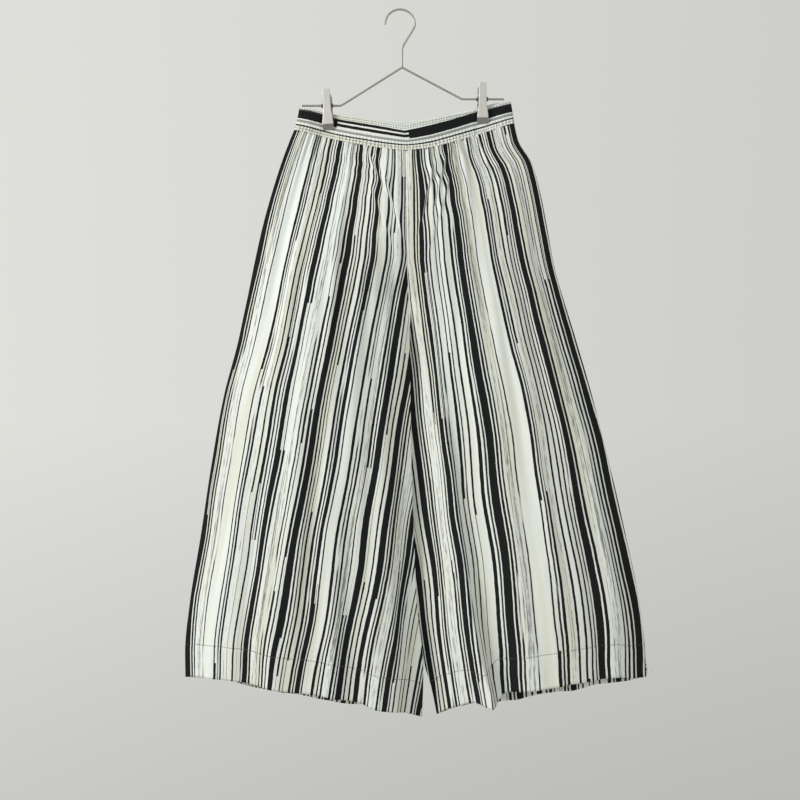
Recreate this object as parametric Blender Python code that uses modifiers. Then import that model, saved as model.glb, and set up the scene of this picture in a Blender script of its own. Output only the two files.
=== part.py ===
"""Wide-leg trousers with a gathered waist, hanging from a steel wire hanger with two clips.

Blender 4.5, metres, +Z up, the front facing -Y. The origin is the inside top of the hanger's
hook, where it sits on a peg or a rail. "Left" and "right" are as seen from the front. A drop
is a distance below the origin. A share runs across a leg panel, from 0 at its side seam to 1
at its centre seam or inside leg, and a station runs round the waist from -1 at the left side
seam, through 0 at the centre, to 1 at the right side seam.
"""

import math

import bmesh
import bpy
import numpy as np
from mathutils import Matrix, Vector

LEFT, RIGHT = -1, 1
FRONT, BACK = -1, 1
SIDE_NAMES = {LEFT: "left", RIGHT: "right"}
FACE_NAMES = {FRONT: "front", BACK: "back"}

# Cloth: the walls of the solids, and the gaps that keep sewn pieces apart.
CLOTH_WALL = 0.0012
BAND_WALL = 0.0020
SEAM_GAP = 0.0003
WAIST_GAP = 0.0005
CROTCH_GAP = 0.0008

# Lengthwise landmarks of the trousers.
CROTCH_DROP = 0.412
FORK_START_DROP = 0.235
FORK_POWER = 1.6
HELD_LENGTH = 0.075

# Gathers below the waistband, of uneven height, and puckers in the band's shirred lower edge.
PANEL_GATHERS = 15
GATHER_DEPTH = 0.0042
GATHER_LENGTH = 0.085
GATHER_MEAN, GATHER_SPREAD, GATHER_TURN = 0.72, 0.28, 2.6
BAND_PUCKERS = 56
PUCKER_DEPTH = 0.0009

# How far in from its edges a sheet lies flat: shares of a panel or of the band, and metres.
GATHER_EDGE_SHARE = 0.10
FOLD_EDGE_SHARE = 0.12
BAND_EDGE_SHARE = 0.05
CLIP_PINCHED_WITHIN, CLIP_FREE_BEYOND = 0.011, 0.016

# The left leg's inside edge hangs forward (-) over the right leg's, which hangs back (+).
INSIDE_EDGE_LEAN = {LEFT: -0.010, RIGHT: 0.008}
LEAN_LENGTH = 0.100

# Outline of the trousers, one row for each level: where the side seams and the inside edges
# are, and how far the cloth stands out in front and behind.
SECTION_COLUMNS = ("drop", "left_side", "left_inside", "right_inside", "right_side", "front", "back")
SECTIONS = np.array([
    (0.130, -0.1436, 0.0044, 0.0044, 0.1600, 0.011, 0.008),
    (0.165, -0.1505, 0.0046, 0.0046, 0.1663, 0.012, 0.009),
    (0.190, -0.1602, 0.0076, 0.0076, 0.1776, 0.013, 0.009),
    (0.220, -0.1714, 0.0084, 0.0084, 0.1907, 0.018, 0.010),
    (0.260, -0.1842, 0.0084, 0.0084, 0.2023, 0.023, 0.011),
    (0.310, -0.1982, 0.0088, 0.0088, 0.2124, 0.027, 0.012),
    (0.370, -0.2117, 0.0105, 0.0105, 0.2233, 0.030, 0.013),
    (0.412, -0.2201, 0.0131, 0.0131, 0.2349, 0.031, 0.014),
    (0.445, -0.2272, 0.0141, 0.0141, 0.2451, 0.031, 0.014),
    (0.480, -0.2346, 0.0150, 0.0112, 0.2559, 0.032, 0.014),
    (0.560, -0.2555, 0.0160, 0.0100, 0.2788, 0.033, 0.015),
    (0.660, -0.2735, 0.0176, 0.0116, 0.3041, 0.034, 0.016),
    (0.760, -0.2886, 0.0210, 0.0150, 0.3270, 0.036, 0.017),
    (0.860, -0.3048, 0.0256, 0.0202, 0.3473, 0.038, 0.018),
    (0.930, -0.3115, 0.0334, 0.0300, 0.3553, 0.040, 0.019),
    (0.955, -0.3112, 0.0345, 0.0360, 0.3563, 0.040, 0.020),
    (0.980, -0.3110, 0.0341, 0.0440, 0.3571, 0.041, 0.020),
    (1.040, -0.3110, 0.0312, 0.0560, 0.3571, 0.042, 0.020),
])

# The waist, one row for each station: the band's top edge and the seam under it, in front and
# behind, and how far each stands off the hanger's plane. The clips pinch it flat at two places.
WAIST_COLUMNS = ("station", "front_seam", "back_top", "front_depth", "back_depth")
WAIST = np.array([
    (-1.00, 0.1733, 0.1410, 0.0000, 0.0000),
    (-0.88, 0.1775, 0.1450, 0.0022, 0.0018),
    (-0.77, 0.1818, 0.1486, 0.0008, 0.0008),
    (-0.63, 0.1872, 0.1525, 0.0008, 0.0008),
    (-0.40, 0.1960, 0.1560, 0.0070, 0.0045),
    (-0.20, 0.2028, 0.1576, 0.0110, 0.0075),
    (0.00, 0.2060, 0.1580, 0.0125, 0.0085),
    (0.20, 0.2024, 0.1562, 0.0110, 0.0075),
    (0.40, 0.1934, 0.1520, 0.0070, 0.0045),
    (0.64, 0.1812, 0.1444, 0.0008, 0.0008),
    (0.80, 0.1734, 0.1382, 0.0008, 0.0008),
    (0.91, 0.1680, 0.1346, 0.0022, 0.0018),
    (1.00, 0.1636, 0.1325, 0.0000, 0.0000),
])
LEFT_CORNER_DROP = 0.1410
RIGHT_CORNER_DROP = 0.1325
CENTRE_FRONT_DROP = 0.1740
BACK_BAND_HEIGHT = 0.0325

# The hem, one row for each share of a panel: its drop on the four panels.
HEM_COLUMNS = ("share", "left_front", "right_front", "left_back", "right_back")
HEM = np.array([
    (0.00, 0.9660, 0.9660, 0.9660, 0.9660),
    (0.10, 0.9645, 0.9650, 0.9720, 0.9700),
    (0.25, 0.9710, 0.9680, 0.9800, 0.9820),
    (0.45, 0.9810, 0.9800, 0.9900, 0.9960),
    (0.60, 0.9890, 0.9880, 0.9980, 1.0050),
    (0.75, 0.9980, 0.9990, 1.0060, 1.0120),
    (0.88, 1.0080, 1.0040, 1.0120, 1.0130),
    (1.00, 1.0170, 1.0120, 1.0170, 1.0120),
])

# Large soft folds: the panel, the fold's share at the waist and at the hem, its half width as
# a share, how far it stands out at the hem, and the drop at which it begins.
FOLDS = (
    (LEFT, FRONT, 0.20, 0.13, 0.090, 0.008, 0.30),
    (LEFT, FRONT, 0.42, 0.40, 0.110, 0.010, 0.24),
    (LEFT, FRONT, 0.64, 0.62, 0.080, 0.007, 0.42),
    (LEFT, FRONT, 0.86, 0.85, 0.100, 0.015, 0.34),
    (RIGHT, FRONT, 0.18, 0.12, 0.090, 0.008, 0.28),
    (RIGHT, FRONT, 0.40, 0.36, 0.100, 0.009, 0.36),
    (RIGHT, FRONT, 0.62, 0.56, 0.080, 0.007, 0.50),
    (RIGHT, FRONT, 0.66, 0.73, 0.055, 0.022, 0.44),
    (RIGHT, FRONT, 0.84, 0.89, 0.060, 0.008, 0.55),
    (LEFT, BACK, 0.24, 0.18, 0.090, 0.009, 0.26),
    (LEFT, BACK, 0.50, 0.46, 0.100, 0.011, 0.32),
    (LEFT, BACK, 0.78, 0.80, 0.090, 0.013, 0.40),
    (RIGHT, BACK, 0.22, 0.20, 0.090, 0.010, 0.30),
    (RIGHT, BACK, 0.46, 0.50, 0.100, 0.012, 0.28),
    (RIGHT, BACK, 0.76, 0.79, 0.090, 0.012, 0.42),
)

# Rows of each panel, as shares of the way from seam to crotch and from crotch to hem.
ROWS_ABOVE_CROTCH = (0.0, 0.06, 0.14, 0.24, 0.36, 0.50, 0.64, 0.77, 0.89, 1.0)
ROWS_BELOW_CROTCH = (0.08, 0.18, 0.30, 0.43, 0.56, 0.69, 0.82, 0.93, 1.0)

# Rows of the waistband, as shares of its height: plain above, shirred in its lower edge.
BAND_ROWS = ((0.0, 0.25), (0.78, 0.35), (0.89, 1.0), (1.0, 0.8))

# Hanger wire.
WIRE_RADIUS = 0.0015
HOOK_RADIUS = 0.0215
HOOK_END_ANGLE = math.radians(180)
HOOK_TURN_ANGLE = math.radians(-8)
NECK_ACROSS = 0.0030
HOOK_NECK = ((0.0180, 0.0295), (0.0125, 0.0385), (0.0072, 0.0468), (0.0038, 0.0535), (0.0030, 0.0600))
APEX_DROP = 0.0827
SHOULDER_ACROSS = {LEFT: -0.0856, RIGHT: 0.0899}
BAR_DROP = {LEFT: 0.1382, RIGHT: 0.1288}
BAR_END_ACROSS = {LEFT: -0.1421, RIGHT: 0.1508}
SHOULDER_BEND_RADIUS = 0.007
APEX_BEND_RADIUS = 0.004

# Clips. A jaw is a bent plate: one row for each level, with how far it is below the bar, how
# far its middle stands off the hanger's plane and its half width.
CLIP_ACROSS = {LEFT: -0.1054, RIGHT: 0.1192}
CLIP_TILT = {LEFT: math.radians(3.0), RIGHT: math.radians(0.6)}
JAW_PLATE = 0.0012
JAW_COLUMNS = ("below_bar", "stand_off", "half_width")
JAW = np.array([
    (-0.0240, 0.0130, 0.0062),
    (-0.0120, 0.0094, 0.0058),
    (-0.0030, 0.0054, 0.0056),
    (0.0030, 0.0052, 0.0057),
    (0.0120, 0.0056, 0.0062),
    (0.0265, 0.0064, 0.0080),
    (0.0285, 0.0060, 0.0083),
    (0.0330, 0.0040, 0.0083),
])
SPRING_LENGTH = 0.0150
SPRING_RADIUS = 0.0042
SPRING_BORE = 0.0018

COLLECTION = "wide_leg_trousers_on_hanger"


def clear_scene():
    for old in list(bpy.data.objects):
        bpy.data.objects.remove(old, do_unlink=True)
    for old in list(bpy.data.meshes):
        bpy.data.meshes.remove(old)


def make_collection():
    collection = bpy.data.collections.new(COLLECTION)
    bpy.context.scene.collection.children.link(collection)
    return collection


def make_material(name, colour, roughness, metallic=0.0):
    material = bpy.data.materials.new(name)
    material.use_nodes = True
    shader = material.node_tree.nodes["Principled BSDF"]
    shader.inputs["Base Color"].default_value = (*colour, 1.0)
    shader.inputs["Roughness"].default_value = roughness
    shader.inputs["Metallic"].default_value = metallic
    material.diffuse_color = (*colour, 1.0)
    return material


def column(table, columns, name):
    return table[:, columns.index(name)]


def eased(at, stations, values):
    """A smooth curve through a table's rows that never swings past them."""
    step = np.diff(stations)
    slope = np.diff(values) / step
    before, after = slope[:-1], slope[1:]
    same_way = before * after > 0
    total = np.where(same_way, before + after, 1.0)
    tangent = np.concatenate(([slope[0]], np.where(same_way, 2 * before * after / total, 0.0), [slope[-1]]))
    at = np.clip(at, stations[0], stations[-1])
    row = np.clip(np.searchsorted(stations, at, side="right") - 1, 0, len(step) - 1)
    t = (at - stations[row]) / step[row]
    start = values[row] * (1 + 2 * t) * (1 - t) ** 2 + values[row + 1] * t * t * (3 - 2 * t)
    turn = tangent[row] * t * (1 - t) ** 2 - tangent[row + 1] * t * t * (1 - t)
    return start + turn * step[row]


def smooth_step(value, low, high):
    t = np.clip((value - low) / (high - low), 0.0, 1.0)
    return t * t * (3 - 2 * t)


def clear_of_edges(share, reach):
    """0 on both edges of a panel, 1 from a share of its width in from each."""
    return smooth_step(share, 0.0, reach) * smooth_step(1 - share, 0.0, reach)


def section(name, drop):
    return eased(drop, column(SECTIONS, SECTION_COLUMNS, "drop"), column(SECTIONS, SECTION_COLUMNS, name))


def waist(name, station):
    return eased(station, column(WAIST, WAIST_COLUMNS, "station"), column(WAIST, WAIST_COLUMNS, name))


def band_top(face, station):
    """The front edge sags to a sharp V at the centre; the back edge stays higher."""
    if face == BACK:
        return waist("back_top", station)
    corner = np.where(station < 0, LEFT_CORNER_DROP, RIGHT_CORNER_DROP)
    return CENTRE_FRONT_DROP + (corner - CENTRE_FRONT_DROP) * np.abs(station)


def band_seam(face, station):
    if face == FRONT:
        return waist("front_seam", station)
    return waist("back_top", station) + BACK_BAND_HEIGHT


def waist_depth(face, station):
    return waist(f"{FACE_NAMES[face]}_depth", station)


def surface_object(name, points, wall, material, collection):
    """An open sheet through a grid of points (rows, columns, xyz), given a wall by Solidify."""
    rows, columns = points.shape[0] - 1, points.shape[1] - 1
    sheet = bmesh.new()
    bmesh.ops.create_grid(sheet, x_segments=columns, y_segments=rows, size=0.5)
    for corner in sheet.verts:
        at_row = round((0.5 - corner.co.y) * rows)
        at_column = round((corner.co.x + 0.5) * columns)
        corner.co = Vector(points[at_row, at_column])
    mesh = bpy.data.meshes.new(name)
    sheet.to_mesh(mesh)
    sheet.free()
    mesh.shade_smooth()
    mesh.materials.append(material)
    piece = bpy.data.objects.new(name, mesh)
    collection.objects.link(piece)
    solidify = piece.modifiers.new("wall", "SOLIDIFY")
    solidify.thickness = wall
    solidify.offset = 0.0
    return piece


def fold_depth(side, face, share, drop, hem):
    """How far the large folds of one panel stand out at each point of it."""
    total = np.zeros_like(drop)
    for fold_side, fold_face, at_waist, at_hem, half_width, depth, begins in FOLDS:
        if (fold_side, fold_face) != (side, face):
            continue
        down = smooth_step(drop, begins, hem)
        middle = at_waist + (at_hem - at_waist) * (drop - begins) / (hem - begins)
        off = (share - middle) / half_width
        total += depth * down * np.exp(-off * off)
    return total


def leg_points(side, face):
    share = np.linspace(0.0, 1.0, 2 * PANEL_GATHERS + 1)
    station = side * (1 - share)
    seam = band_seam(face, station) + WAIST_GAP
    hem = eased(share, column(HEM, HEM_COLUMNS, "share"),
                column(HEM, HEM_COLUMNS, f"{SIDE_NAMES[side]}_{FACE_NAMES[face]}"))
    above = [seam + (CROTCH_DROP - seam) * part for part in ROWS_ABOVE_CROTCH]
    below = [CROTCH_DROP + (hem - CROTCH_DROP) * part for part in ROWS_BELOW_CROTCH]
    drop = np.array(above + below)
    share, hem, seam, station = (np.broadcast_to(line, drop.shape) for line in (share, hem, seam, station))

    # Where the fork begins the centre seam turns in, and below the crotch each leg is closed.
    closed = np.clip((drop - FORK_START_DROP) / (CROTCH_DROP - FORK_START_DROP), 0.0, 1.0) ** FORK_POWER
    inside = section(f"{SIDE_NAMES[side]}_inside", drop) + side * (SEAM_GAP / 2 + CROTCH_GAP * closed)
    outside = section(f"{SIDE_NAMES[side]}_side", drop)
    across = outside + (inside - outside) * share

    hanging = section(FACE_NAMES[face], drop) * np.sin(share * (1 + closed) * math.pi / 2)
    held = np.exp(-((drop - seam) / HELD_LENGTH) ** 2)
    depth = held * waist_depth(face, station) + (1 - held) * hanging

    # Every second column is the crest of a gather, of uneven height, that dies out lower down.
    order = np.arange(drop.shape[1])
    crest = (order % 2) * (GATHER_MEAN + GATHER_SPREAD * np.sin(GATHER_TURN * order))
    crest = crest * clear_of_edges(share, GATHER_EDGE_SHARE)
    depth = depth + GATHER_DEPTH * crest * np.exp(-(drop - seam) / GATHER_LENGTH)
    folds = fold_depth(side, face, share, drop, hem)
    depth = depth + folds * clear_of_edges(share, FOLD_EDGE_SHARE)

    lean = INSIDE_EDGE_LEAN[side] * smooth_step(drop, CROTCH_DROP, CROTCH_DROP + LEAN_LENGTH) * share ** 2
    out = lean + face * ((CLOTH_WALL + SEAM_GAP) / 2 + depth)
    return np.stack((across, out, -drop), axis=-1)


def clear_of_clips(across, drop):
    """0 under a clip's jaws, where the band is pinched flat, and 1 away from them."""
    clear = np.ones_like(across)
    for side in (LEFT, RIGHT):
        jaw_across = CLIP_ACROSS[side] + math.tan(CLIP_TILT[side]) * (drop - BAR_DROP[side])
        clear = clear * smooth_step(np.abs(across - jaw_across), CLIP_PINCHED_WITHIN, CLIP_FREE_BEYOND)
    return clear


def waistband_points(face):
    station = np.linspace(-1.0, 1.0, 2 * BAND_PUCKERS + 1)
    top, seam = band_top(face, station), band_seam(face, station)
    drop = np.array([top + (seam - top) * part for part, _ in BAND_ROWS])
    fullness = np.array([pucker for _, pucker in BAND_ROWS])[:, None]
    station = np.broadcast_to(station, drop.shape)
    centre = section("left_inside", drop)
    outside = np.where(station < 0, section("left_side", drop), section("right_side", drop))
    across = centre + (outside - centre) * np.abs(station)
    crest = np.arange(drop.shape[1]) % 2
    edges = smooth_step(1 - np.abs(station), 0.0, BAND_EDGE_SHARE)
    puckers = PUCKER_DEPTH * crest * fullness * edges * clear_of_clips(across, drop)
    out = face * ((BAND_WALL + SEAM_GAP) / 2 + waist_depth(face, station) + puckers)
    return np.stack((across, out, -drop), axis=-1)


def rounded_path(corners, radii, steps=6):
    """A path through corners, each turned with its own radius."""
    path = [corners[0]]
    for before, corner, after, radius in zip(corners, corners[1:], corners[2:], radii):
        back, ahead = (before - corner).normalized(), (after - corner).normalized()
        half = back.angle(ahead) / 2
        start, end = corner + back * radius / math.tan(half), corner + ahead * radius / math.tan(half)
        middle = corner + (back + ahead).normalized() * radius / math.sin(half)
        sweep = (start - middle).angle(end - middle)
        for step in range(steps + 1):
            turn = sweep * step / steps
            share = math.sin(turn) / math.sin(sweep)
            rest = math.sin(sweep - turn) / math.sin(sweep)
            path.append(middle + (start - middle) * rest + (end - middle) * share)
    return path + [corners[-1]]


def spline_points(points, steps=3):
    """Points along the smooth curve through the given ones, the first and last as guides."""
    path = []
    for a, b, c, d in zip(points, points[1:], points[2:], points[3:]):
        for step in range(steps):
            t = step / steps
            path.append(0.5 * (2 * b + (c - a) * t + (2 * a - 5 * b + 4 * c - d) * t * t
                               + (3 * b - a - 3 * c + d) * t ** 3))
    return path + [points[-2]]


def wire_object(name, path, radius, material, collection):
    curve = bpy.data.curves.new(name, "CURVE")
    curve.dimensions = "3D"
    curve.bevel_depth = radius
    curve.bevel_resolution = 2
    curve.use_fill_caps = True
    spline = curve.splines.new("POLY")
    spline.points.add(len(path) - 1)
    for point, place in zip(spline.points, path):
        point.co = (*place, 1.0)
    curve.materials.append(material)
    wire = bpy.data.objects.new(name, curve)
    collection.objects.link(wire)
    return wire


def hanger_frame_path():
    """The body of the hanger: bar, shoulder, apex, shoulder, bar, in one bent wire."""
    corners = [Vector((across, 0.0, -drop)) for across, drop in (
        (BAR_END_ACROSS[LEFT], BAR_DROP[LEFT]), (SHOULDER_ACROSS[LEFT], BAR_DROP[LEFT]),
        (NECK_ACROSS, APEX_DROP),
        (SHOULDER_ACROSS[RIGHT], BAR_DROP[RIGHT]), (BAR_END_ACROSS[RIGHT], BAR_DROP[RIGHT]))]
    return rounded_path(corners, (SHOULDER_BEND_RADIUS, APEX_BEND_RADIUS, SHOULDER_BEND_RADIUS))


def hanger_hook_path(apex_height):
    """The hook turns over its peg, comes back to the middle and stands on the body's apex."""
    middle = Vector((0.0, 0.0, WIRE_RADIUS - HOOK_RADIUS))
    turns = 22
    arc = []
    for step in range(turns + 1):
        angle = HOOK_END_ANGLE + (HOOK_TURN_ANGLE - HOOK_END_ANGLE) * step / turns
        arc.append(middle + HOOK_RADIUS * Vector((math.cos(angle), 0.0, math.sin(angle))))
    neck = [Vector((across, 0.0, -drop)) for across, drop in HOOK_NECK]
    foot = Vector((NECK_ACROSS, 0.0, apex_height + WIRE_RADIUS + SEAM_GAP))
    return arc[:-1] + spline_points([arc[-2], arc[-1], *neck, foot]) + [foot]


def clip_frame(side):
    """Where a clip sits on the bar, and how far it leans."""
    place = Matrix.Translation((CLIP_ACROSS[side], 0.0, -BAR_DROP[side]))
    return place @ Matrix.Rotation(-CLIP_TILT[side], 4, "Y")


def make_jaw(side, face, material, collection):
    rows = np.repeat(JAW[:, None, :], 2, axis=1)
    half = rows[..., JAW_COLUMNS.index("half_width")] * np.array((-1, 1))
    out = face * rows[..., JAW_COLUMNS.index("stand_off")]
    points = np.stack((half, out, -rows[..., JAW_COLUMNS.index("below_bar")]), axis=-1)
    jaw = surface_object(f"clip_{SIDE_NAMES[side]}_{FACE_NAMES[face]}_jaw", points, JAW_PLATE, material,
                         collection)
    jaw.data.transform(clip_frame(side))
    return jaw


def make_spring(side, material, collection):
    """The torsion spring's outer form: a turned sleeve that runs free on the bar."""
    half = SPRING_LENGTH / 2
    profile = [(half, SPRING_RADIUS), (-half, SPRING_RADIUS), (-half, SPRING_BORE), (half, SPRING_BORE)]
    ring = bmesh.new()
    corners = [ring.verts.new((across, 0.0, radius)) for across, radius in profile]
    for start, end in zip(corners, corners[1:] + corners[:1]):
        ring.edges.new((start, end))
    name = f"clip_{SIDE_NAMES[side]}_spring"
    mesh = bpy.data.meshes.new(name)
    ring.to_mesh(mesh)
    ring.free()
    mesh.materials.append(material)
    spring = bpy.data.objects.new(name, mesh)
    collection.objects.link(spring)
    spring.location = (CLIP_ACROSS[side], 0.0, -BAR_DROP[side])
    screw = spring.modifiers.new("turned", "SCREW")
    screw.axis = "X"
    screw.steps = screw.render_steps = 16
    screw.use_merge_vertices = True
    screw.merge_threshold = 0.00001
    return spring


def make_hanger(collection):
    steel = make_material("brushed_steel_wire", (0.42, 0.42, 0.39), 0.35, 1.0)
    plate = make_material("satin_plated_clip", (0.58, 0.55, 0.52), 0.45, 0.8)
    spring_steel = make_material("spring_steel", (0.10, 0.10, 0.10), 0.40, 1.0)
    frame_path = hanger_frame_path()
    wire_object("hanger_frame_wire", frame_path, WIRE_RADIUS, steel, collection)
    apex_height = max(point.z for point in frame_path)
    wire_object("hanger_hook_wire", hanger_hook_path(apex_height), WIRE_RADIUS, steel, collection)
    for side in (LEFT, RIGHT):
        for face in (FRONT, BACK):
            make_jaw(side, face, plate, collection)
        make_spring(side, spring_steel, collection)


def make_trousers(collection):
    cloth = make_material("woven_cotton_cloth", (0.72, 0.74, 0.64), 0.85)
    band_cloth = make_material("woven_cotton_band", (0.60, 0.62, 0.54), 0.85)
    for face in (FRONT, BACK):
        surface_object(f"waistband_{FACE_NAMES[face]}", waistband_points(face), BAND_WALL, band_cloth,
                       collection)
        for side in (LEFT, RIGHT):
            surface_object(f"leg_{SIDE_NAMES[side]}_{FACE_NAMES[face]}", leg_points(side, face),
                           CLOTH_WALL, cloth, collection)


def main():
    clear_scene()
    collection = make_collection()
    make_hanger(collection)
    make_trousers(collection)


main()
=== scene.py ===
"""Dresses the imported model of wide-leg trousers that hang from a steel wire clip hanger.

Metres, +Z up, the front facing -Y. The origin is the inside top of the hanger's hook. "Left" and
"right" are as seen from the front. A drop is a distance below the origin. A share runs across a
leg panel, from 0 at its side seam to 1 at its centre seam or inside leg, and a station runs round
the waist from -1 at the left side seam, through 0 at the centre, to 1 at the right side seam.
"""

import math

import bmesh
import bpy
import numpy as np
from mathutils import Matrix, Vector


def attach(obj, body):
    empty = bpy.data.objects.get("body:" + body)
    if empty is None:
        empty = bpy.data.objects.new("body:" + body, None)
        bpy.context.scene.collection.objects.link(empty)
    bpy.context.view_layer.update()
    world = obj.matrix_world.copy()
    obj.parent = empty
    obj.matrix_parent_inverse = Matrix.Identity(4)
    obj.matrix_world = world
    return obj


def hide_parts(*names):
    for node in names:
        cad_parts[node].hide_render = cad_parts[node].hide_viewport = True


bl_info = {
    "name": "Wide-leg trousers on a clip hanger",
    "version": (1, 0, 0),
    "blender": (4, 5, 0),
    "location": "3D View > Sidebar > Trousers",
    "description": "Dresses the packed model of wide-leg trousers hanging from a wire clip hanger",
    "category": "Object",
}

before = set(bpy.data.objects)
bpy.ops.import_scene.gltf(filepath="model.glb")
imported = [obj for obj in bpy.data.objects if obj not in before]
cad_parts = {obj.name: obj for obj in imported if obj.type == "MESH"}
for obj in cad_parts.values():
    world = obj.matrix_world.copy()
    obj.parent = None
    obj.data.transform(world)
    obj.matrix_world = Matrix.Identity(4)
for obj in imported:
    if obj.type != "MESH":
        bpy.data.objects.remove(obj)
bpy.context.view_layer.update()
BODY = "root"
MM = 0.001

LEFT, RIGHT = -1, 1
FRONT, BACK = -1, 1
SIDE_NAMES = {LEFT: "left", RIGHT: "right"}
FACE_NAMES = {FRONT: "front", BACK: "back"}

# How the frame's cloth solids lie: their walls, gaps and lengthwise landmarks.
FRAME_CLOTH_WALL = 0.0012
FRAME_BAND_WALL = 0.0020
SEAM_GAP = 0.0003
CROTCH_GAP = 0.0008
CROTCH_DROP = 0.412
FORK_START_DROP = 0.235
FORK_POWER = 1.6
HELD_LENGTH = 0.075
INSIDE_EDGE_LEAN = {LEFT: -0.010, RIGHT: 0.008}
LEAN_LENGTH = 0.100

# Outline of the trousers, one row for each level.
SECTION_COLUMNS = ("drop", "left_side", "left_inside", "right_inside", "right_side", "front", "back")
SECTIONS = np.array([
    (0.130, -0.1436, 0.0044, 0.0044, 0.1600, 0.011, 0.008),
    (0.165, -0.1505, 0.0046, 0.0046, 0.1663, 0.012, 0.009),
    (0.190, -0.1602, 0.0076, 0.0076, 0.1724, 0.013, 0.009),
    (0.220, -0.1714, 0.0084, 0.0084, 0.1907, 0.018, 0.010),
    (0.260, -0.1842, 0.0084, 0.0084, 0.2023, 0.023, 0.011),
    (0.310, -0.1982, 0.0088, 0.0088, 0.2124, 0.027, 0.012),
    (0.370, -0.2117, 0.0105, 0.0105, 0.2233, 0.030, 0.013),
    (0.412, -0.2201, 0.0131, 0.0131, 0.2349, 0.031, 0.014),
    (0.445, -0.2272, 0.0141, 0.0141, 0.2451, 0.031, 0.014),
    (0.480, -0.2346, 0.0150, 0.0112, 0.2559, 0.032, 0.014),
    (0.560, -0.2555, 0.0160, 0.0100, 0.2788, 0.033, 0.015),
    (0.660, -0.2735, 0.0176, 0.0116, 0.3041, 0.034, 0.016),
    (0.760, -0.2886, 0.0210, 0.0150, 0.3270, 0.036, 0.017),
    (0.860, -0.3048, 0.0256, 0.0202, 0.3473, 0.038, 0.018),
    (0.930, -0.3115, 0.0334, 0.0300, 0.3553, 0.040, 0.019),
    (0.955, -0.3112, 0.0345, 0.0360, 0.3563, 0.040, 0.020),
    (0.980, -0.3110, 0.0341, 0.0440, 0.3571, 0.041, 0.020),
    (1.040, -0.3110, 0.0312, 0.0560, 0.3571, 0.042, 0.020),
])

# The waist, one row for each station: the seam in front, the back's top edge, the depths, and how
# far the waistband's print is set down at its top edge.
WAIST_COLUMNS = ("station", "front_seam", "back_top", "front_depth", "back_depth", "print_set_down")
WAIST = np.array([
    (-1.00, 0.1733, 0.1410, 0.0000, 0.0000, -0.0015),
    (-0.88, 0.1775, 0.1450, 0.0022, 0.0018, -0.0017),
    (-0.77, 0.1818, 0.1486, 0.0008, 0.0008, -0.0015),
    (-0.63, 0.1872, 0.1525, 0.0008, 0.0008, 0.0012),
    (-0.40, 0.1960, 0.1560, 0.0070, 0.0045, 0.0022),
    (-0.20, 0.2028, 0.1576, 0.0110, 0.0075, 0.0026),
    (0.00, 0.2060, 0.1580, 0.0125, 0.0085, 0.0030),
    (0.20, 0.2024, 0.1562, 0.0110, 0.0075, 0.0028),
    (0.40, 0.1934, 0.1516, 0.0070, 0.0045, 0.0020),
    (0.64, 0.1812, 0.1426, 0.0008, 0.0008, -0.0016),
    (0.80, 0.1734, 0.1364, 0.0008, 0.0008, -0.0012),
    (0.91, 0.1680, 0.1334, 0.0022, 0.0018, -0.0010),
    (1.00, 0.1636, 0.1325, 0.0000, 0.0000, -0.0010),
])
LEFT_CORNER_DROP = 0.1410
RIGHT_CORNER_DROP = 0.1325
CENTRE_FRONT_DROP = 0.1712
BAND_HEIGHT = 0.0325

# The hem, one row for each share of a panel: its drop on the four panels.
HEM_COLUMNS = ("share", "left_front", "right_front", "left_back", "right_back")
HEM = np.array([
    (0.00, 0.9660, 0.9660, 0.9660, 0.9660),
    (0.06, 0.9640, 0.9650, 0.9690, 0.9715),
    (0.14, 0.9625, 0.9605, 0.9735, 0.9790),
    (0.25, 0.9650, 0.9620, 0.9835, 0.9862),
    (0.36, 0.9700, 0.9650, 0.9932, 0.9932),
    (0.47, 0.9750, 0.9710, 1.0003, 1.0000),
    (0.58, 0.9800, 0.9755, 1.0055, 1.0062),
    (0.67, 0.9860, 0.9800, 1.0085, 1.0090),
    (0.70, 0.9885, 0.9885, 1.0100, 1.0100),
    (0.74, 0.9925, 0.9970, 1.0110, 1.0108),
    (0.80, 1.0005, 0.9950, 1.0130, 1.0125),
    (0.91, 1.0085, 1.0065, 1.0160, 1.0155),
    (1.00, 1.0210, 1.0225, 1.0210, 1.0225),
])
HEM_TURN_UP = 0.047
# One corner of the back hem is turned out beside the front one: the panel, its drop, how far it
# stands out to the side, its half height, and the share of the panel that it takes.
TURNED_CORNER = (RIGHT, BACK, 0.9560, 0.0095, 0.0055, 0.024)

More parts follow.
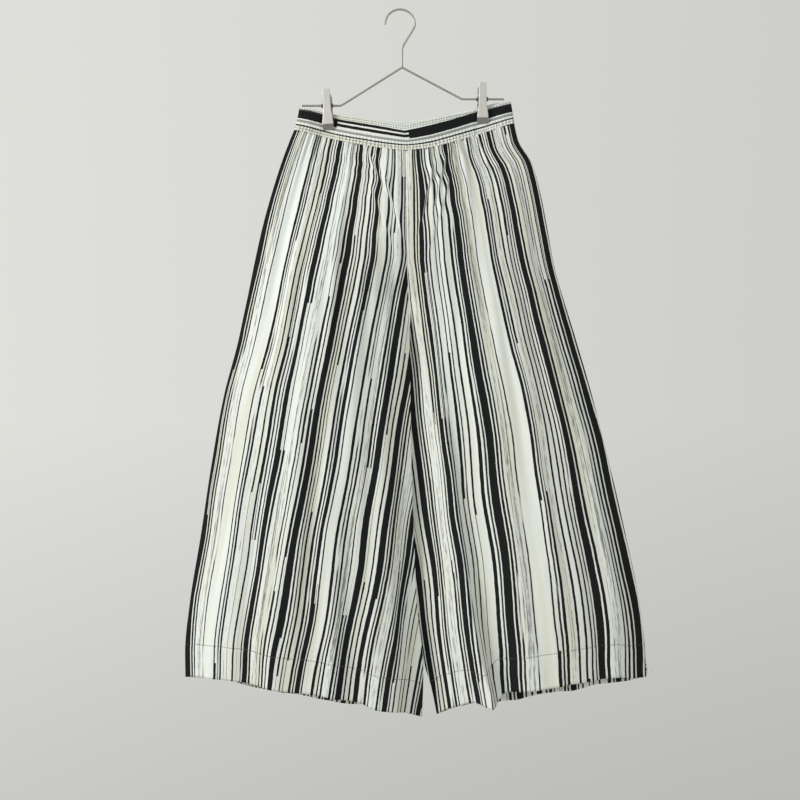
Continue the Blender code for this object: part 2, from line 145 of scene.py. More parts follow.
# Large soft folds: the panel, the fold's share at the waist and at the hem, its half widths
# towards the side seam and towards the inside, how far it stands out at the hem, and the drop at
# which it begins.
FOLDS = (
    (LEFT, FRONT, 0.20, 0.13, 0.090, 0.090, 0.008, 0.30),
    (LEFT, FRONT, 0.42, 0.40, 0.110, 0.110, 0.010, 0.24),
    (LEFT, FRONT, 0.64, 0.62, 0.080, 0.080, 0.007, 0.42),
    (LEFT, FRONT, 0.86, 0.85, 0.100, 0.100, 0.015, 0.34),
    (RIGHT, FRONT, 0.18, 0.12, 0.090, 0.090, 0.008, 0.28),
    (RIGHT, FRONT, 0.40, 0.36, 0.100, 0.100, 0.009, 0.36),
    (RIGHT, FRONT, 0.62, 0.56, 0.080, 0.080, 0.007, 0.50),
    (RIGHT, FRONT, 0.845, 0.735, 0.026, 0.080, 0.027, 0.42),
    (RIGHT, FRONT, 0.84, 0.89, 0.060, 0.060, 0.008, 0.55),
    (LEFT, BACK, 0.24, 0.18, 0.090, 0.090, 0.009, 0.26),
    (LEFT, BACK, 0.50, 0.46, 0.100, 0.100, 0.011, 0.32),
    (LEFT, BACK, 0.78, 0.80, 0.090, 0.090, 0.013, 0.40),
    (RIGHT, BACK, 0.22, 0.20, 0.090, 0.090, 0.010, 0.30),
    (RIGHT, BACK, 0.46, 0.50, 0.100, 0.100, 0.012, 0.28),
    (RIGHT, BACK, 0.76, 0.79, 0.090, 0.090, 0.012, 0.42),
)

# Slack in the cloth between the large folds: waves across a panel, how far they lean to the
# side on the way down, their depth and their phase, and the drops between which it sets in.
SLACK_WAVES = (
    (4.3, 0.9, 0.0016, 0.6),
    (7.1, -1.3, 0.0011, 2.1),
    (11.7, 1.6, 0.0006, 4.4),
)
SLACK_SETS_IN = (0.20, 0.40)
SLACK_SIDE_PHASE, SLACK_FACE_PHASE = 1.7, 0.9

# Drag creases from the waist to the fork: the panel, the start and the end of each (across,
# drop), how far it stands out, and how much cloth it takes up.
CREASES = (
    (LEFT, FRONT, (-0.0510, 0.2010), (-0.0130, 0.2760), 0.0026, 0.0060),
    (LEFT, FRONT, (-0.0340, 0.2120), (0.0060, 0.3380), 0.0030, 0.0050),
    (LEFT, FRONT, (-0.0420, 0.2600), (-0.0080, 0.3500), 0.0016, 0.0030),
    (RIGHT, FRONT, (0.0680, 0.2130), (0.0480, 0.2900), 0.0026, 0.0060),
    (RIGHT, FRONT, (0.0500, 0.2260), (0.0260, 0.3250), 0.0030, 0.0050),
    (RIGHT, FRONT, (0.0760, 0.2350), (0.0430, 0.3500), 0.0016, 0.0030),
    (LEFT, BACK, (-0.0520, 0.2100), (0.0020, 0.3500), 0.0024, 0.0040),
    (RIGHT, BACK, (0.0640, 0.2060), (0.0150, 0.3520), 0.0024, 0.0040),
)
CREASE_EDGE = 0.0024
CREASE_REACH = 0.016
CREASE_STARTS, CREASE_ENDS = (-0.10, 0.15), (-0.15, 0.30)

# Where a panel's gathers and its folds run out, as shares from its side seam and its inside edge.
GATHERS_CLEAR_OF_SIDE, GATHERS_CLEAR_OF_INSIDE = 0.05, 0.015
FOLDS_CLEAR_OF_EDGES = 0.12

# How deep the stitched hem and the centre seam draw the cloth in, how far to each side, and how
# sharply the turn-up's second layer begins.
HEM_DRAWN_IN, SEAM_DRAWN_IN, DRAWN_IN_HALF_WIDTH = 0.0006, 0.0004, 0.0022
TURN_UP_STEP = 0.001

# A panel's grid: its columns, and its rows above the crotch, above the turn-up and in it.
PANEL_COLUMNS = 230
PANEL_ROWS = (64, 88, 12)

# Fine gathers of each panel under the waistband. How far one strays and its half width are shares
# of the room it has, its depth is a share of the full one, and it drifts by a share a metre. None
# is shorter than the shortest, and long ones are rare.
FINE_GATHERS = 24
GATHER_SEEDS = {(LEFT, FRONT): 11, (RIGHT, FRONT): 23, (LEFT, BACK): 37, (RIGHT, BACK): 41}
GATHER_STRAY, GATHER_DRIFT = 0.30, 0.10
GATHER_HALF_WIDTHS = (0.30, 0.46)
GATHER_DEPTHS = (0.45, 1.0)
GATHER_SHORTEST, GATHER_LONGER, GATHER_RARITY = 0.030, 0.170, 2.2
GATHER_WIDENS_OVER = 0.16

# The print's grain: the line that is a fixed cut width from the side seam, at each level.
CUT_HALF_WIDTH = 0.245
GRAIN_COLUMNS = ("drop", "left", "right")
GRAIN = np.array([
    (0.150, 0.0044, 0.0044),
    (0.300, 0.0086, 0.0086),
    (0.350, 0.0080, 0.0100),
    (0.384, 0.0029, 0.0135),
    (0.420, -0.0044, 0.0178),
    (0.463, -0.0130, 0.0230),
    (0.557, -0.0276, 0.0343),
    (0.797, -0.0653, 0.0630),
    (0.995, -0.0986, 0.0868),
    (1.040, -0.1050, 0.0920),
])
PRINT_START = {(LEFT, FRONT): 0.110, (RIGHT, FRONT): 0.655, (LEFT, BACK): 0.130, (RIGHT, BACK): 0.530}
# How far the waistband's print reaches to each side of the centre.
BAND_CUT_HALF_LENGTH = 0.22

# Rows of stitches round the waistband, as drops below its top edge, and how they draw it in.
BAND_STITCH_ROWS = (0.0016, 0.0042, 0.0258, 0.0292)
BAND_ROW_PINCH, BAND_ROW_HALF_WIDTH = 0.85, 0.0011
BAND_SWELL = 0.0008
BAND_STATIONS, BAND_LEVELS = 701, 41

# The waistband's puckers: how many, how unevenly they come (by how much, and how often), the
# shares of its height at which they deepen and fade, and how deep they are in each part of it.
BAND_PUCKERS = 70
PUCKER_WANDER = ((0.012, 9), (0.004, 31))
PUCKERS_DEEPEN, PUCKERS_FADE = (0.66, 0.80), (0.14, 0.30)
PUCKER_LEAST, PUCKER_BELOW, PUCKER_ABOVE = 0.14, 0.86, 0.10
PUCKERS_CLEAR_OF_SIDES = 0.03
PINCHED_BY_CLIP = (0.009, 0.014)

# Where the stitches start and end, how many points guide each row, and how far they lie proud.
BAND_SEWN_TO, BAND_SEWN_POINTS = 0.995, 1400
HEM_SEWN_FROM, HEM_SEWN_POINTS = 0.003, 400
STITCH_LIFT = 0.25

# Hanger wire. Each point of the hook's neck is a distance across and a drop.
WIRE_RADIUS = 0.0015
HOOK_RADIUS = 0.0215
HOOK_END_ANGLE = math.radians(180)
HOOK_TURN_ANGLE = math.radians(-8)
NECK_ACROSS = 0.0030
HOOK_NECK = ((0.0180, 0.0295), (0.0125, 0.0385), (0.0072, 0.0468), (0.0038, 0.0535), (0.0030, 0.0600))
APEX_DROP = 0.0827
SHOULDER_ACROSS = {LEFT: -0.0856, RIGHT: 0.0899}
BAR_DROP = {LEFT: 0.1382, RIGHT: 0.1288}
BAR_END_ACROSS = {LEFT: -0.1421, RIGHT: 0.1508}
SHOULDER_BEND_RADIUS = 0.007
APEX_BEND_RADIUS = 0.004
SHARP_EDGE = math.radians(50)
HOOK_ARC_STEPS = 60
# The weld of the hook to the body: how high the hook's foot and the bead's middle lie and the
# bead's size, in wire radii, and its shape.
HOOK_FOOT_RISE, WELD_RISE, WELD_RADIUS = 0.8, 0.7, 1.35
WELD_SHAPE = (1.15, 0.95, 1.0, 1.0)

# Clips.
CLIP_ACROSS = {LEFT: -0.1054, RIGHT: 0.1192}
CLIP_TILT = {LEFT: math.radians(3.0), RIGHT: math.radians(0.6)}
JAW_COLUMNS = ("below_bar", "stand_off", "front_half_width", "back_half_width")
JAW = np.array([
    (-0.0211, 0.0118, 0.0054, 0.0056),
    (-0.0120, 0.0108, 0.0053, 0.0070),
    (-0.0030, 0.0099, 0.0054, 0.0072),
    (0.0050, 0.0093, 0.0057, 0.0071),
    (0.0120, 0.0089, 0.0063, 0.0070),
    (0.0200, 0.0086, 0.0073, 0.0073),
    (0.0284, 0.0084, 0.0081, 0.0081),
    (0.0300, 0.0072, 0.0081, 0.0081),
    (0.0362, 0.0037, 0.0080, 0.0080),
])
# Below this the jaw's lip, turned in under the plate, takes the darker steel: painted shade.
JAW_PAINTED_SHADE_BELOW = 0.0290
JAW_GRID = (61, 17)
JAW_CORNER, JAW_CORNER_NARROWING = (-0.001, 0.003), 0.10
JAW_EDGE_FROM, JAW_EDGE_TURN = 0.86, 0.0004
# The second slot is the darker steel, painted shade on the lips, flanges and inner faces.
PLATE_SLOT, PAINTED_SHADE_SLOT = 0, 1

# The side flanges of each jaw: where they stand, and their outline from the plate to the lug on
# the bar, as the distance out from the bar and the height above it.
FLANGE_ACROSS = {FRONT: 0.0049, BACK: 0.0060}
FLANGE_OUTLINE = {
    FRONT: ((0.0084, -0.0150), (0.0109, 0.0160)),
    BACK: ((0.0090, -0.0070), (0.0110, 0.0165), (0.0035, 0.0140)),
}
FLANGE_LUG_RADIUS = 0.0040
LUG_ARC_FROM, LUG_ARC_SWEEP, LUG_ARC_STEPS = 80, 200, 12
BUSHING_RADIUS = 0.0028
BUSHING_FROM, BUSHING_TO = 0.0068, 0.0084
FLANGE_EDGE, BUSHING_EDGE = 0.0002, 0.0003

# The clips' torsion springs. A leg's points are distances out from the bar and heights above it.
SPRING_TURNS = 4.5
SPRING_RADIUS, SPRING_PITCH = 0.0030, 0.0017
SPRING_START = math.radians(55)
SPRING_STEPS_A_TURN = 18
SPRING_LEG = ((0.0060, 0.0070), (0.0090, 0.0130))

# The metals, each with its roughness and its fine lines, as waves to the metre along each axis.
METALS = {
    # Cold-drawn wire, satin with lines along it.
    "drawn_steel_wire": (0.52, (900, 900, 260)),
    # Pressed plate with a satin nickel finish.
    "satin_nickel_plate": (0.68, (300, 300, 1500)),
    # Darker steel: painted shade on the clips' lips, flanges and inner faces.
    "painted_shade_plate": (0.50, (300, 300, 1500)),
    # Dark oiled spring steel.
    "oiled_spring_steel": (0.38, (800, 800, 800)),
}
METAL_SMEARS = 90.0

# The print, charted in four strips of cloth that follow one another: where each mark
# starts and how wide it is, in millimetres, and what it is.
INK, PENCIL, BRUSH = (1, 0, 0), (0, 1, 0), (0, 0, 1)
STRIP_WIDTH = 96.0
PRINT_CHART = (
    ((2, 9.0, INK), (13, 2.2, PENCIL), (17, 3.8, INK), (23, 2.0, PENCIL), (28, 6, BRUSH), (37, 2.8, INK),
     (42, 2.2, PENCIL), (46, 7.5, INK), (55, 3.4, INK), (61, 2.4, PENCIL), (71, 3.8, INK),
     (77, 2.0, PENCIL), (85, 2.8, INK)),
    ((1, 4.4, INK), (8, 2.2, PENCIL), (12, 9.5, INK), (23, 3.0, INK), (28, 2.2, PENCIL), (33, 8, BRUSH),
     (44, 2.0, PENCIL), (67, 4.0, INK), (73, 2.2, PENCIL), (77, 3.2, INK), (83, 4, BRUSH),
     (90, 2.4, INK)),
    ((2, 4.6, INK), (9, 2.2, INK), (14, 2.0, PENCIL), (18, 8.0, INK), (28, 3.4, INK), (35, 9, BRUSH),
     (48, 2.2, PENCIL), (53, 3.4, INK), (60, 3.8, INK), (66, 9.5, INK), (78, 2.4, INK),
     (83, 2.0, PENCIL), (88, 3.0, INK)),
    ((1, 3.6, INK), (7, 2.2, PENCIL), (11, 7.5, INK), (20, 2.2, PENCIL), (35, 4.2, INK), (43, 2.2, PENCIL),
     (48, 3.0, INK), (54, 6, BRUSH), (61, 3.6, INK), (67, 2.2, INK), (71, 9.5, INK), (83, 2.6, INK),
     (91, 2.6, INK)),
)

# The waistband is cut across the print: one strip down its height, and one where a bar divides.
BAND_STRIP_WIDTH = 33.0
WASH = (0.62, 0, 0)
BAND_CHART = (((4.0, 12.2, INK), (17.8, 3.3, WASH), (24.2, 1.9, INK)),)
DIVIDED_BAND_CHART = (((4.0, 3.8, INK), (10.0, 4.0, INK), (17.8, 3.3, WASH), (24.2, 1.9, INK)),)
DIVIDED_FROM, DIVIDED_TO = -0.135, 0.008

# Bars of the legs' print that are drawn back by a step: the cells in which that is decided, how
# far a column of cells is staggered, the random value past which one is drawn back, and how far.
CELL_WIDTH, CELL_LENGTH, CELL_STAGGER = 0.009, 0.210, 0.9
DRAWN_BACK_ABOVE, DRAWN_BACK_BY = (0.76, 0.77), 0.0020

# How far the bars' edges waver and the bars bend together, and how much print the reverse shows.
LEG_WAVER, LEG_BEND = 0.0011, 0.008
BAND_WAVER, BAND_BEND = 0.0007, 0.0
REVERSE_PRINT = 0.45

# The cotton's noises, in waves to the metre across the cloth and down it.
COTTON_WAVES = {
    "bend": (10, 8, 0),
    "slow_waver": (30, 9, 0),
    "fine_waver": (160, 75, 0),
    "pencil": (90, 7, 0),
    "streaks": (430, 4, 0),
    "flecks": (520, 60, 0),
    "drift": (44, 1.6, 0),
    "weave": (1250, 1250, 0),
    "crinkle": (95, 34, 0),
}

# The stage: each light's place, size and share of the key light's or the fill light's power.
LIGHT_AIM = (0.0, 0.0, -0.55)
LIGHTS = {
    "key": ((-2.3, -1.5, 0.45), 1.3, "key_power", 1.0),
    "fill": ((1.6, -2.4, -0.4), 2.0, "fill_power", 1.0),
    "behind": ((-1.2, 2.4, 0.4), 2.0, "key_power", 0.5),
}
FLOOR_RADIUS, FLOOR_DROP = 1.15, 2.0
SENSOR_WIDTH = 36.0
# How the surround's brightness runs along each axis: from and to, and its strength at both.
SURROUND = {
    "X": (-0.42, 0.42, 1.16, 0.94),
    "Z": (-0.40, -0.02, 0.77, 1.0),
    "Y": (-0.3, 0.3, 0.70, 1.0),
}


class TrousersClothSettings(bpy.types.PropertyGroup):
    ground: bpy.props.StringProperty(name="Ground", description="Cloth's pale ground, sRGB hex",
                                     default="E8EBE4")
    ground_warm: bpy.props.StringProperty(name="Warm ground", description="Warmer drift of the ground",
                                          default="DCDDD0")
    ground_cool: bpy.props.StringProperty(name="Cool ground", description="Cooler drift of the ground",
                                          default="E1E7E2")
    ink: bpy.props.StringProperty(name="Ink", description="Bars of the print, sRGB hex", default="0B0C10")
    brush: bpy.props.StringProperty(name="Brush", description="Dry-brushed marks, sRGB hex",
                                    default="454845")
    thread: bpy.props.StringProperty(name="Thread", description="Stitching thread, sRGB hex",
                                     default="50524B")
    thickness: bpy.props.FloatProperty(name="Cloth", description="Thickness of the cloth", default=0.0006,
                                       unit="LENGTH")
    band_thickness: bpy.props.FloatProperty(name="Waistband", description="Thickness of the waistband",
                                            default=0.0018, unit="LENGTH")
    gather_depth: bpy.props.FloatProperty(name="Gathers", description="Depth of the fine gathers",
                                          default=0.0048, unit="LENGTH")
    pucker_depth: bpy.props.FloatProperty(name="Puckers", description="Depth of the band's puckers",
                                          default=0.0015, unit="LENGTH")


class TrousersStitchSettings(bpy.types.PropertyGroup):
    pitch: bpy.props.FloatProperty(name="Pitch", description="Distance between stitches",
                                   default=0.0036, unit="LENGTH")
    length: bpy.props.FloatProperty(name="Length", description="Length of a stitch", default=0.0027,
                                    unit="LENGTH")
    thickness: bpy.props.FloatProperty(name="Thickness", description="Thickness of the thread",
                                       default=0.0009, unit="LENGTH")


class TrousersHangerSettings(bpy.types.PropertyGroup):
    wire: bpy.props.StringProperty(name="Wire", description="Hanger wire, sRGB hex", default="B4B3AC")
    plate: bpy.props.StringProperty(name="Plate", description="Clip plates, sRGB hex", default="DFDDD9")
    # Painted shade: a darker steel for the clips' lips, flanges and inner faces.
    painted_shade_steel: bpy.props.StringProperty(name="Bare steel", description="Inner faces of the clips, sRGB hex",
                                   default="A5A29C")
    spring: bpy.props.StringProperty(name="Spring", description="Clip springs, sRGB hex", default="5A5956")
    plate_thickness: bpy.props.FloatProperty(name="Plate thickness",
                                             description="Thickness of a clip's plate",
                                             default=0.0009, unit="LENGTH")
    spring_wire: bpy.props.FloatProperty(name="Spring wire", description="Thickness of the spring's wire",
                                         default=0.0011, unit="LENGTH")


class TrousersStageSettings(bpy.types.PropertyGroup):
    backdrop: bpy.props.StringProperty(name="Backdrop", description="Pale floor and surround, sRGB hex",
                                       default="D2D3CE")
    camera_distance: bpy.props.FloatProperty(name="Camera distance", description="Camera to the hanger",
                                             default=1.45, unit="LENGTH")
    camera_drop: bpy.props.FloatProperty(name="Camera drop", description="Camera below the hook",
                                         default=0.5648, unit="LENGTH")
    frame_width: bpy.props.FloatProperty(name="Frame", description="Width of view at the hanger",
                                         default=1.16, unit="LENGTH")
    key_power: bpy.props.FloatProperty(name="Key light", description="Power of the soft key light",
                                       default=55.0, unit="POWER")
    fill_power: bpy.props.FloatProperty(name="Fill light", description="Power of the soft fill light",
                                        default=13.0, unit="POWER")


def cloth_settings():
    return bpy.context.scene.trousers_cloth


def column(table, columns, name):
    return table[:, columns.index(name)]


def eased(at, stations, values):
    """A smooth curve through a table's rows that never swings past them."""
    step = np.diff(stations)
    slope = np.diff(values) / step
    before, after = slope[:-1], slope[1:]
    same_way = before * after > 0
    total = np.where(same_way, before + after, 1.0)
    tangent = np.concatenate(([slope[0]], np.where(same_way, 2 * before * after / total, 0.0), [slope[-1]]))
    at = np.clip(at, stations[0], stations[-1])
    row = np.clip(np.searchsorted(stations, at, side="right") - 1, 0, len(step) - 1)
    t = (at - stations[row]) / step[row]
    start = values[row] * (1 + 2 * t) * (1 - t) ** 2 + values[row + 1] * t * t * (3 - 2 * t)
    turn = tangent[row] * t * (1 - t) ** 2 - tangent[row + 1] * t * t * (1 - t)
    return start + turn * step[row]


def smooth_step(value, low, high):
    t = np.clip((value - low) / (high - low), 0.0, 1.0)
    return t * t * (3 - 2 * t)


def section(name, drop):
    return eased(drop, column(SECTIONS, SECTION_COLUMNS, "drop"), column(SECTIONS, SECTION_COLUMNS, name))


def waist(name, station):
    return eased(station, column(WAIST, WAIST_COLUMNS, "station"), column(WAIST, WAIST_COLUMNS, name))


def band_top(face, station):
    """The front edge sags to a sharp V at the centre; the back edge stays higher."""
    if face == BACK:
        return waist("back_top", station)
    corner = np.where(station < 0, LEFT_CORNER_DROP, RIGHT_CORNER_DROP)
    return CENTRE_FRONT_DROP + (corner - CENTRE_FRONT_DROP) * np.abs(station)


def band_seam(face, station):
    if face == FRONT:
        return waist("front_seam", station)
    return waist("back_top", station) + BAND_HEIGHT


def waist_depth(face, station):
    return waist(f"{FACE_NAMES[face]}_depth", station)


def hem_drop(side, face, share):
    return eased(share, column(HEM, HEM_COLUMNS, "share"),
                 column(HEM, HEM_COLUMNS, f"{SIDE_NAMES[side]}_{FACE_NAMES[face]}"))


def fold_depth(side, face, share, drop, hem):
    """How far the large folds of one panel stand out at each point of it."""
    total = np.zeros_like(drop)
    for fold_side, fold_face, at_waist, at_hem, outer, inner, depth, begins in FOLDS:
        if (fold_side, fold_face) != (side, face):
            continue
        down = smooth_step(drop, begins, hem)
        middle = at_waist + (at_hem - at_waist) * (drop - begins) / (hem - begins)
        off = (share - middle) / np.where(share < middle, outer, inner)
        total = total + depth * down * np.exp(-off * off)
    return total


def gather_depth(side, face, share, below):
    """Uneven gathers that start crowded at the waist, and widen and die out on the way down."""
    pick = np.random.default_rng(GATHER_SEEDS[side, face])
    total = np.zeros_like(below)
    for index in range(FINE_GATHERS):
        middle = (index + 0.5 + pick.uniform(-GATHER_STRAY, GATHER_STRAY)) / FINE_GATHERS
        half_width = pick.uniform(*GATHER_HALF_WIDTHS) / FINE_GATHERS
        depth = cloth_settings().gather_depth * pick.uniform(*GATHER_DEPTHS)
        length = GATHER_SHORTEST + GATHER_LONGER * pick.random() ** GATHER_RARITY
        drift = pick.uniform(-GATHER_DRIFT, GATHER_DRIFT)
        spread = 1 + below / GATHER_WIDENS_OVER
        off = (share - middle - drift * below) / (half_width * spread)
        total = total + depth * np.exp(-off * off) * np.exp(-below / length)
    return total


def slack_depth(share, drop, phase):
    total = np.zeros_like(drop)
    for waves, lean, depth, start in SLACK_WAVES:
        turn = 2 * math.pi * (waves * share + lean * drop) + start + phase
        total = total + depth * np.sin(turn) * smooth_step(drop, *SLACK_SETS_IN)
    return total


def crease_lines(side, face, across, drop):
    """For each crease of a panel: how far it lifts each point, and the cloth it takes up there."""
    for crease_side, crease_face, start, end, depth, taken_up in CREASES:
        if (crease_side, crease_face) != (side, face):
            continue
        run = np.array(end) - np.array(start)
        length = np.hypot(*run)
        along = ((across - start[0]) * run[0] + (drop - start[1]) * run[1]) / length ** 2
        off = -side * ((across - start[0]) * run[1] - (drop - start[1]) * run[0]) / length
        strength = smooth_step(along, *CREASE_STARTS) * smooth_step(1 - along, *CREASE_ENDS)
        past = smooth_step(off, -CREASE_EDGE, CREASE_EDGE) * np.exp(-np.maximum(off, 0) / CREASE_REACH)
        yield past * strength * depth, past * strength * taken_up


def crease_depth(side, face, across, drop):
    total = np.zeros_like(drop)
    for lift, _ in crease_lines(side, face, across, drop):
        total = total + lift
    return total


def leg_point(side, face, share, drop):
    """The outer face of a leg panel, at a share across it and a drop."""
    share, drop = np.broadcast_arrays(np.asarray(share, float), np.asarray(drop, float))
    station = side * (1 - share)
    seam, hem = band_seam(face, station), hem_drop(side, face, share)
    below = np.maximum(drop - seam, 0.0)
    closed = np.clip((drop - FORK_START_DROP) / (CROTCH_DROP - FORK_START_DROP), 0.0, 1.0) ** FORK_POWER
    inside = section(f"{SIDE_NAMES[side]}_inside", drop) + side * CROTCH_GAP * closed
    outside = section(f"{SIDE_NAMES[side]}_side", drop)
    across = outside + (inside - outside) * share

    hanging = section(FACE_NAMES[face], drop) * np.sin(share * (1 + closed) * math.pi / 2)
    held = np.exp(-(below / HELD_LENGTH) ** 2)
    depth = held * waist_depth(face, station) + (1 - held) * hanging

    clear = smooth_step(share, 0.0, GATHERS_CLEAR_OF_SIDE)
    clear = clear * smooth_step(1 - share, 0.0, GATHERS_CLEAR_OF_INSIDE)
    edges = smooth_step(share, 0.0, FOLDS_CLEAR_OF_EDGES) * smooth_step(1 - share, 0.0, FOLDS_CLEAR_OF_EDGES)
    phase = SLACK_SIDE_PHASE * side + SLACK_FACE_PHASE * face
    depth = depth + gather_depth(side, face, share, below) * clear
    depth = depth + fold_depth(side, face, share, drop, hem) * edges
    depth = depth + slack_depth(share, drop, phase) * edges
    depth = depth + crease_depth(side, face, across, drop) * clear

    thickness = cloth_settings().thickness
    above_hem = hem - drop
    in_turn_up = smooth_step(-above_hem, -HEM_TURN_UP - TURN_UP_STEP, -HEM_TURN_UP)
    stitched = HEM_DRAWN_IN * np.exp(-((above_hem - HEM_TURN_UP) / DRAWN_IN_HALF_WIDTH) ** 2)
    from_seam = (1 - share) * np.abs(inside - outside)
    seamed = SEAM_DRAWN_IN * np.exp(-(from_seam / DRAWN_IN_HALF_WIDTH) ** 2) * (1 - closed)
    depth = depth + thickness / 2 * in_turn_up - stitched - seamed

    lean = INSIDE_EDGE_LEAN[side] * smooth_step(drop, CROTCH_DROP, CROTCH_DROP + LEAN_LENGTH) * share ** 2
    stand_off = thickness * (1 - edges) + (FRAME_CLOTH_WALL + SEAM_GAP) / 2 * edges
    out = lean + face * (stand_off + np.maximum(depth, 0.0))
    return np.stack((across, out, -drop), axis=-1)


def turned_corner(side, face, share, drop):
    """How far the one turned corner of the back hem stands out to the side."""
    corner_side, corner_face, corner_drop, corner_out, corner_height, corner_share = TURNED_CORNER
    if (side, face) != (corner_side, corner_face):
        return np.zeros_like(drop)
    off = np.hypot((drop - corner_drop) / corner_height, share / corner_share)
    return side * corner_out * np.exp(-off ** 2)


def leg_grid(side, face):
    """A panel's points in rows from its seam to its hem, and where each lies in the flat cloth."""
    share = np.linspace(0.0, 1.0, PANEL_COLUMNS + 1)
    seam = band_seam(face, side * (1 - share))
    hem = hem_drop(side, face, share)
    levels = (seam, np.full_like(seam, CROTCH_DROP), hem - HEM_TURN_UP, hem)
    runs = [above + (below - above) * np.linspace(0, 1, rows + 1)[1:, None]
            for above, below, rows in zip(levels, levels[1:], PANEL_ROWS)]
    drop = np.concatenate((seam[None, :], *runs))
    points = leg_point(side, face, np.broadcast_to(share, drop.shape), drop)
    cut = cut_coordinates(side, face, points, drop - seam)
    points[..., 0] += turned_corner(side, face, share, drop)
    return points, cut


def cut_coordinates(side, face, points, down):
    """Where each point lies in the flat cloth: across the grain and down it, in metres."""
    steps = np.linalg.norm(np.diff(points, axis=1), axis=2)
    run = np.concatenate((np.zeros((len(points), 1)), np.cumsum(steps, axis=1)), axis=1)
    width = np.empty_like(run)
    for row, line in enumerate(points):
        drop = -line[:, 2].mean()
        grain = eased(drop, column(GRAIN, GRAIN_COLUMNS, "drop"),
                      column(GRAIN, GRAIN_COLUMNS, SIDE_NAMES[side]))
        at_grain = np.interp(side * -grain, side * -line[:, 0], run[row])
        outer = CUT_HALF_WIDTH * np.minimum(run[row], at_grain) / at_grain
        width[row] = outer + np.maximum(run[row] - at_grain, 0.0)
    for _, taken_up in crease_lines(side, face, points[..., 0], -points[..., 2]):
        width = width + taken_up
    print_across = PRINT_START[side, face] - side * width
    return np.stack((print_across, down), axis=-1)


def grid_mesh(name, points, cut, outward_back):
    """A mesh through a grid of points, its faces turned to the front or to the back."""
    rows, columns = points.shape[:2]
    index = np.arange(rows * columns).reshape(rows, columns)
    corners = [index[:-1, :-1], index[:-1, 1:], index[1:, 1:], index[1:, :-1]]
    if not outward_back:
        corners.reverse()
    faces = np.stack(corners, axis=-1).reshape(-1, 4)
    mesh = bpy.data.meshes.new(name)
    mesh.vertices.add(rows * columns)
    mesh.vertices.foreach_set("co", points.reshape(-1).astype(np.float32))
    mesh.loops.add(faces.size)
    mesh.loops.foreach_set("vertex_index", faces.reshape(-1).astype(np.int32))
    mesh.polygons.add(len(faces))
    mesh.polygons.foreach_set("loop_start", np.arange(0, faces.size, 4, dtype=np.int32))
    mesh.update(calc_edges=True)
    layer = mesh.uv_layers.new(name="cut")
    layer.data.foreach_set("uv", cut.reshape(-1, 2)[faces.reshape(-1)].reshape(-1).astype(np.float32))
    mesh.shade_smooth()
    return mesh


def link_piece(name, data, *materials):
    piece = bpy.data.objects.new(name, data)
    bpy.context.scene.collection.objects.link(piece)
    for material in materials:
        data.materials.append(material)
    return piece


def apply_modifiers(piece):
    """Turns the evaluated piece into a plain mesh on the same object."""
    graph = bpy.context.evaluated_depsgraph_get()
    mesh = bpy.data.meshes.new_from_object(piece.evaluated_get(graph))
    piece.modifiers.clear()
    piece.data = mesh


def give_thickness(piece, thickness):
    """A wall inwards from the piece's face, whose inside takes the next material."""
    solidify = piece.modifiers.new("thickness", "SOLIDIFY")
    solidify.thickness = thickness
    solidify.offset = -1.0
    solidify.material_offset = 1


def linear(hex_colour):
    """sRGB hex to linear RGBA."""
    parts = [int(hex_colour[start:start + 2], 16) / 255 for start in (0, 2, 4)]
    return (*[p / 12.92 if p <= 0.04045 else ((p + 0.055) / 1.055) ** 2.4 for p in parts], 1.0)


def add_node(tree, kind, inputs=None, **settings):
    """Adds a node. Each input, by name or number, is a value or the socket that feeds it."""
    node = tree.nodes.new(kind)
    for name, value in settings.items():
        setattr(node, name, value)
    for key, value in (inputs or {}).items():
        if isinstance(value, bpy.types.NodeSocket):
            tree.links.new(value, node.inputs[key])
        else:
            node.inputs[key].default_value = value
    return node


def mixed(tree, share, first, second):
    """Mixes two colours, each a value or a socket."""
    mix = add_node(tree, "ShaderNodeMix", {"Factor": share, 6: first, 7: second}, data_type="RGBA")
    return mix.outputs[2]


def new_material(name):
    """A material with an empty tree, its shader and its output."""
    material = bpy.data.materials.new(name)
    material.use_nodes = True
    tree = material.node_tree
    tree.nodes.clear()
    shader = add_node(tree, "ShaderNodeBsdfPrincipled")
    add_node(tree, "ShaderNodeOutputMaterial", {"Surface": shader.outputs["BSDF"]})
    return material, tree, shader


def noise(tree, place, stretch, detail=1.0, roughness=0.5):
    """Noise with its own number of waves to the metre along each axis, as a socket."""
    stretched = add_node(tree, "ShaderNodeVectorMath", {0: place, 1: stretch}, operation="MULTIPLY")
    return add_node(tree, "ShaderNodeTexNoise", {"Vector": stretched.outputs[0], "Scale": 1.0,
                                                 "Detail": detail, "Roughness": roughness}).outputs["Fac"]


def maths(tree, operation, *values):
    return add_node(tree, "ShaderNodeMath", dict(enumerate(values)), operation=operation).outputs[0]


def ranged(tree, value, *limits):
    """Maps a value between two limits to 0 and 1, or to the third and the fourth."""
    return add_node(tree, "ShaderNodeMapRange", {"Value": value, **dict(enumerate(limits, 1))}).outputs[0]


def swung(tree, value, width):
    """Spreads a value from 0 to 1 over a width, half to each side of 0."""
    return maths(tree, "MULTIPLY_ADD", value, width, -0.5 * width)


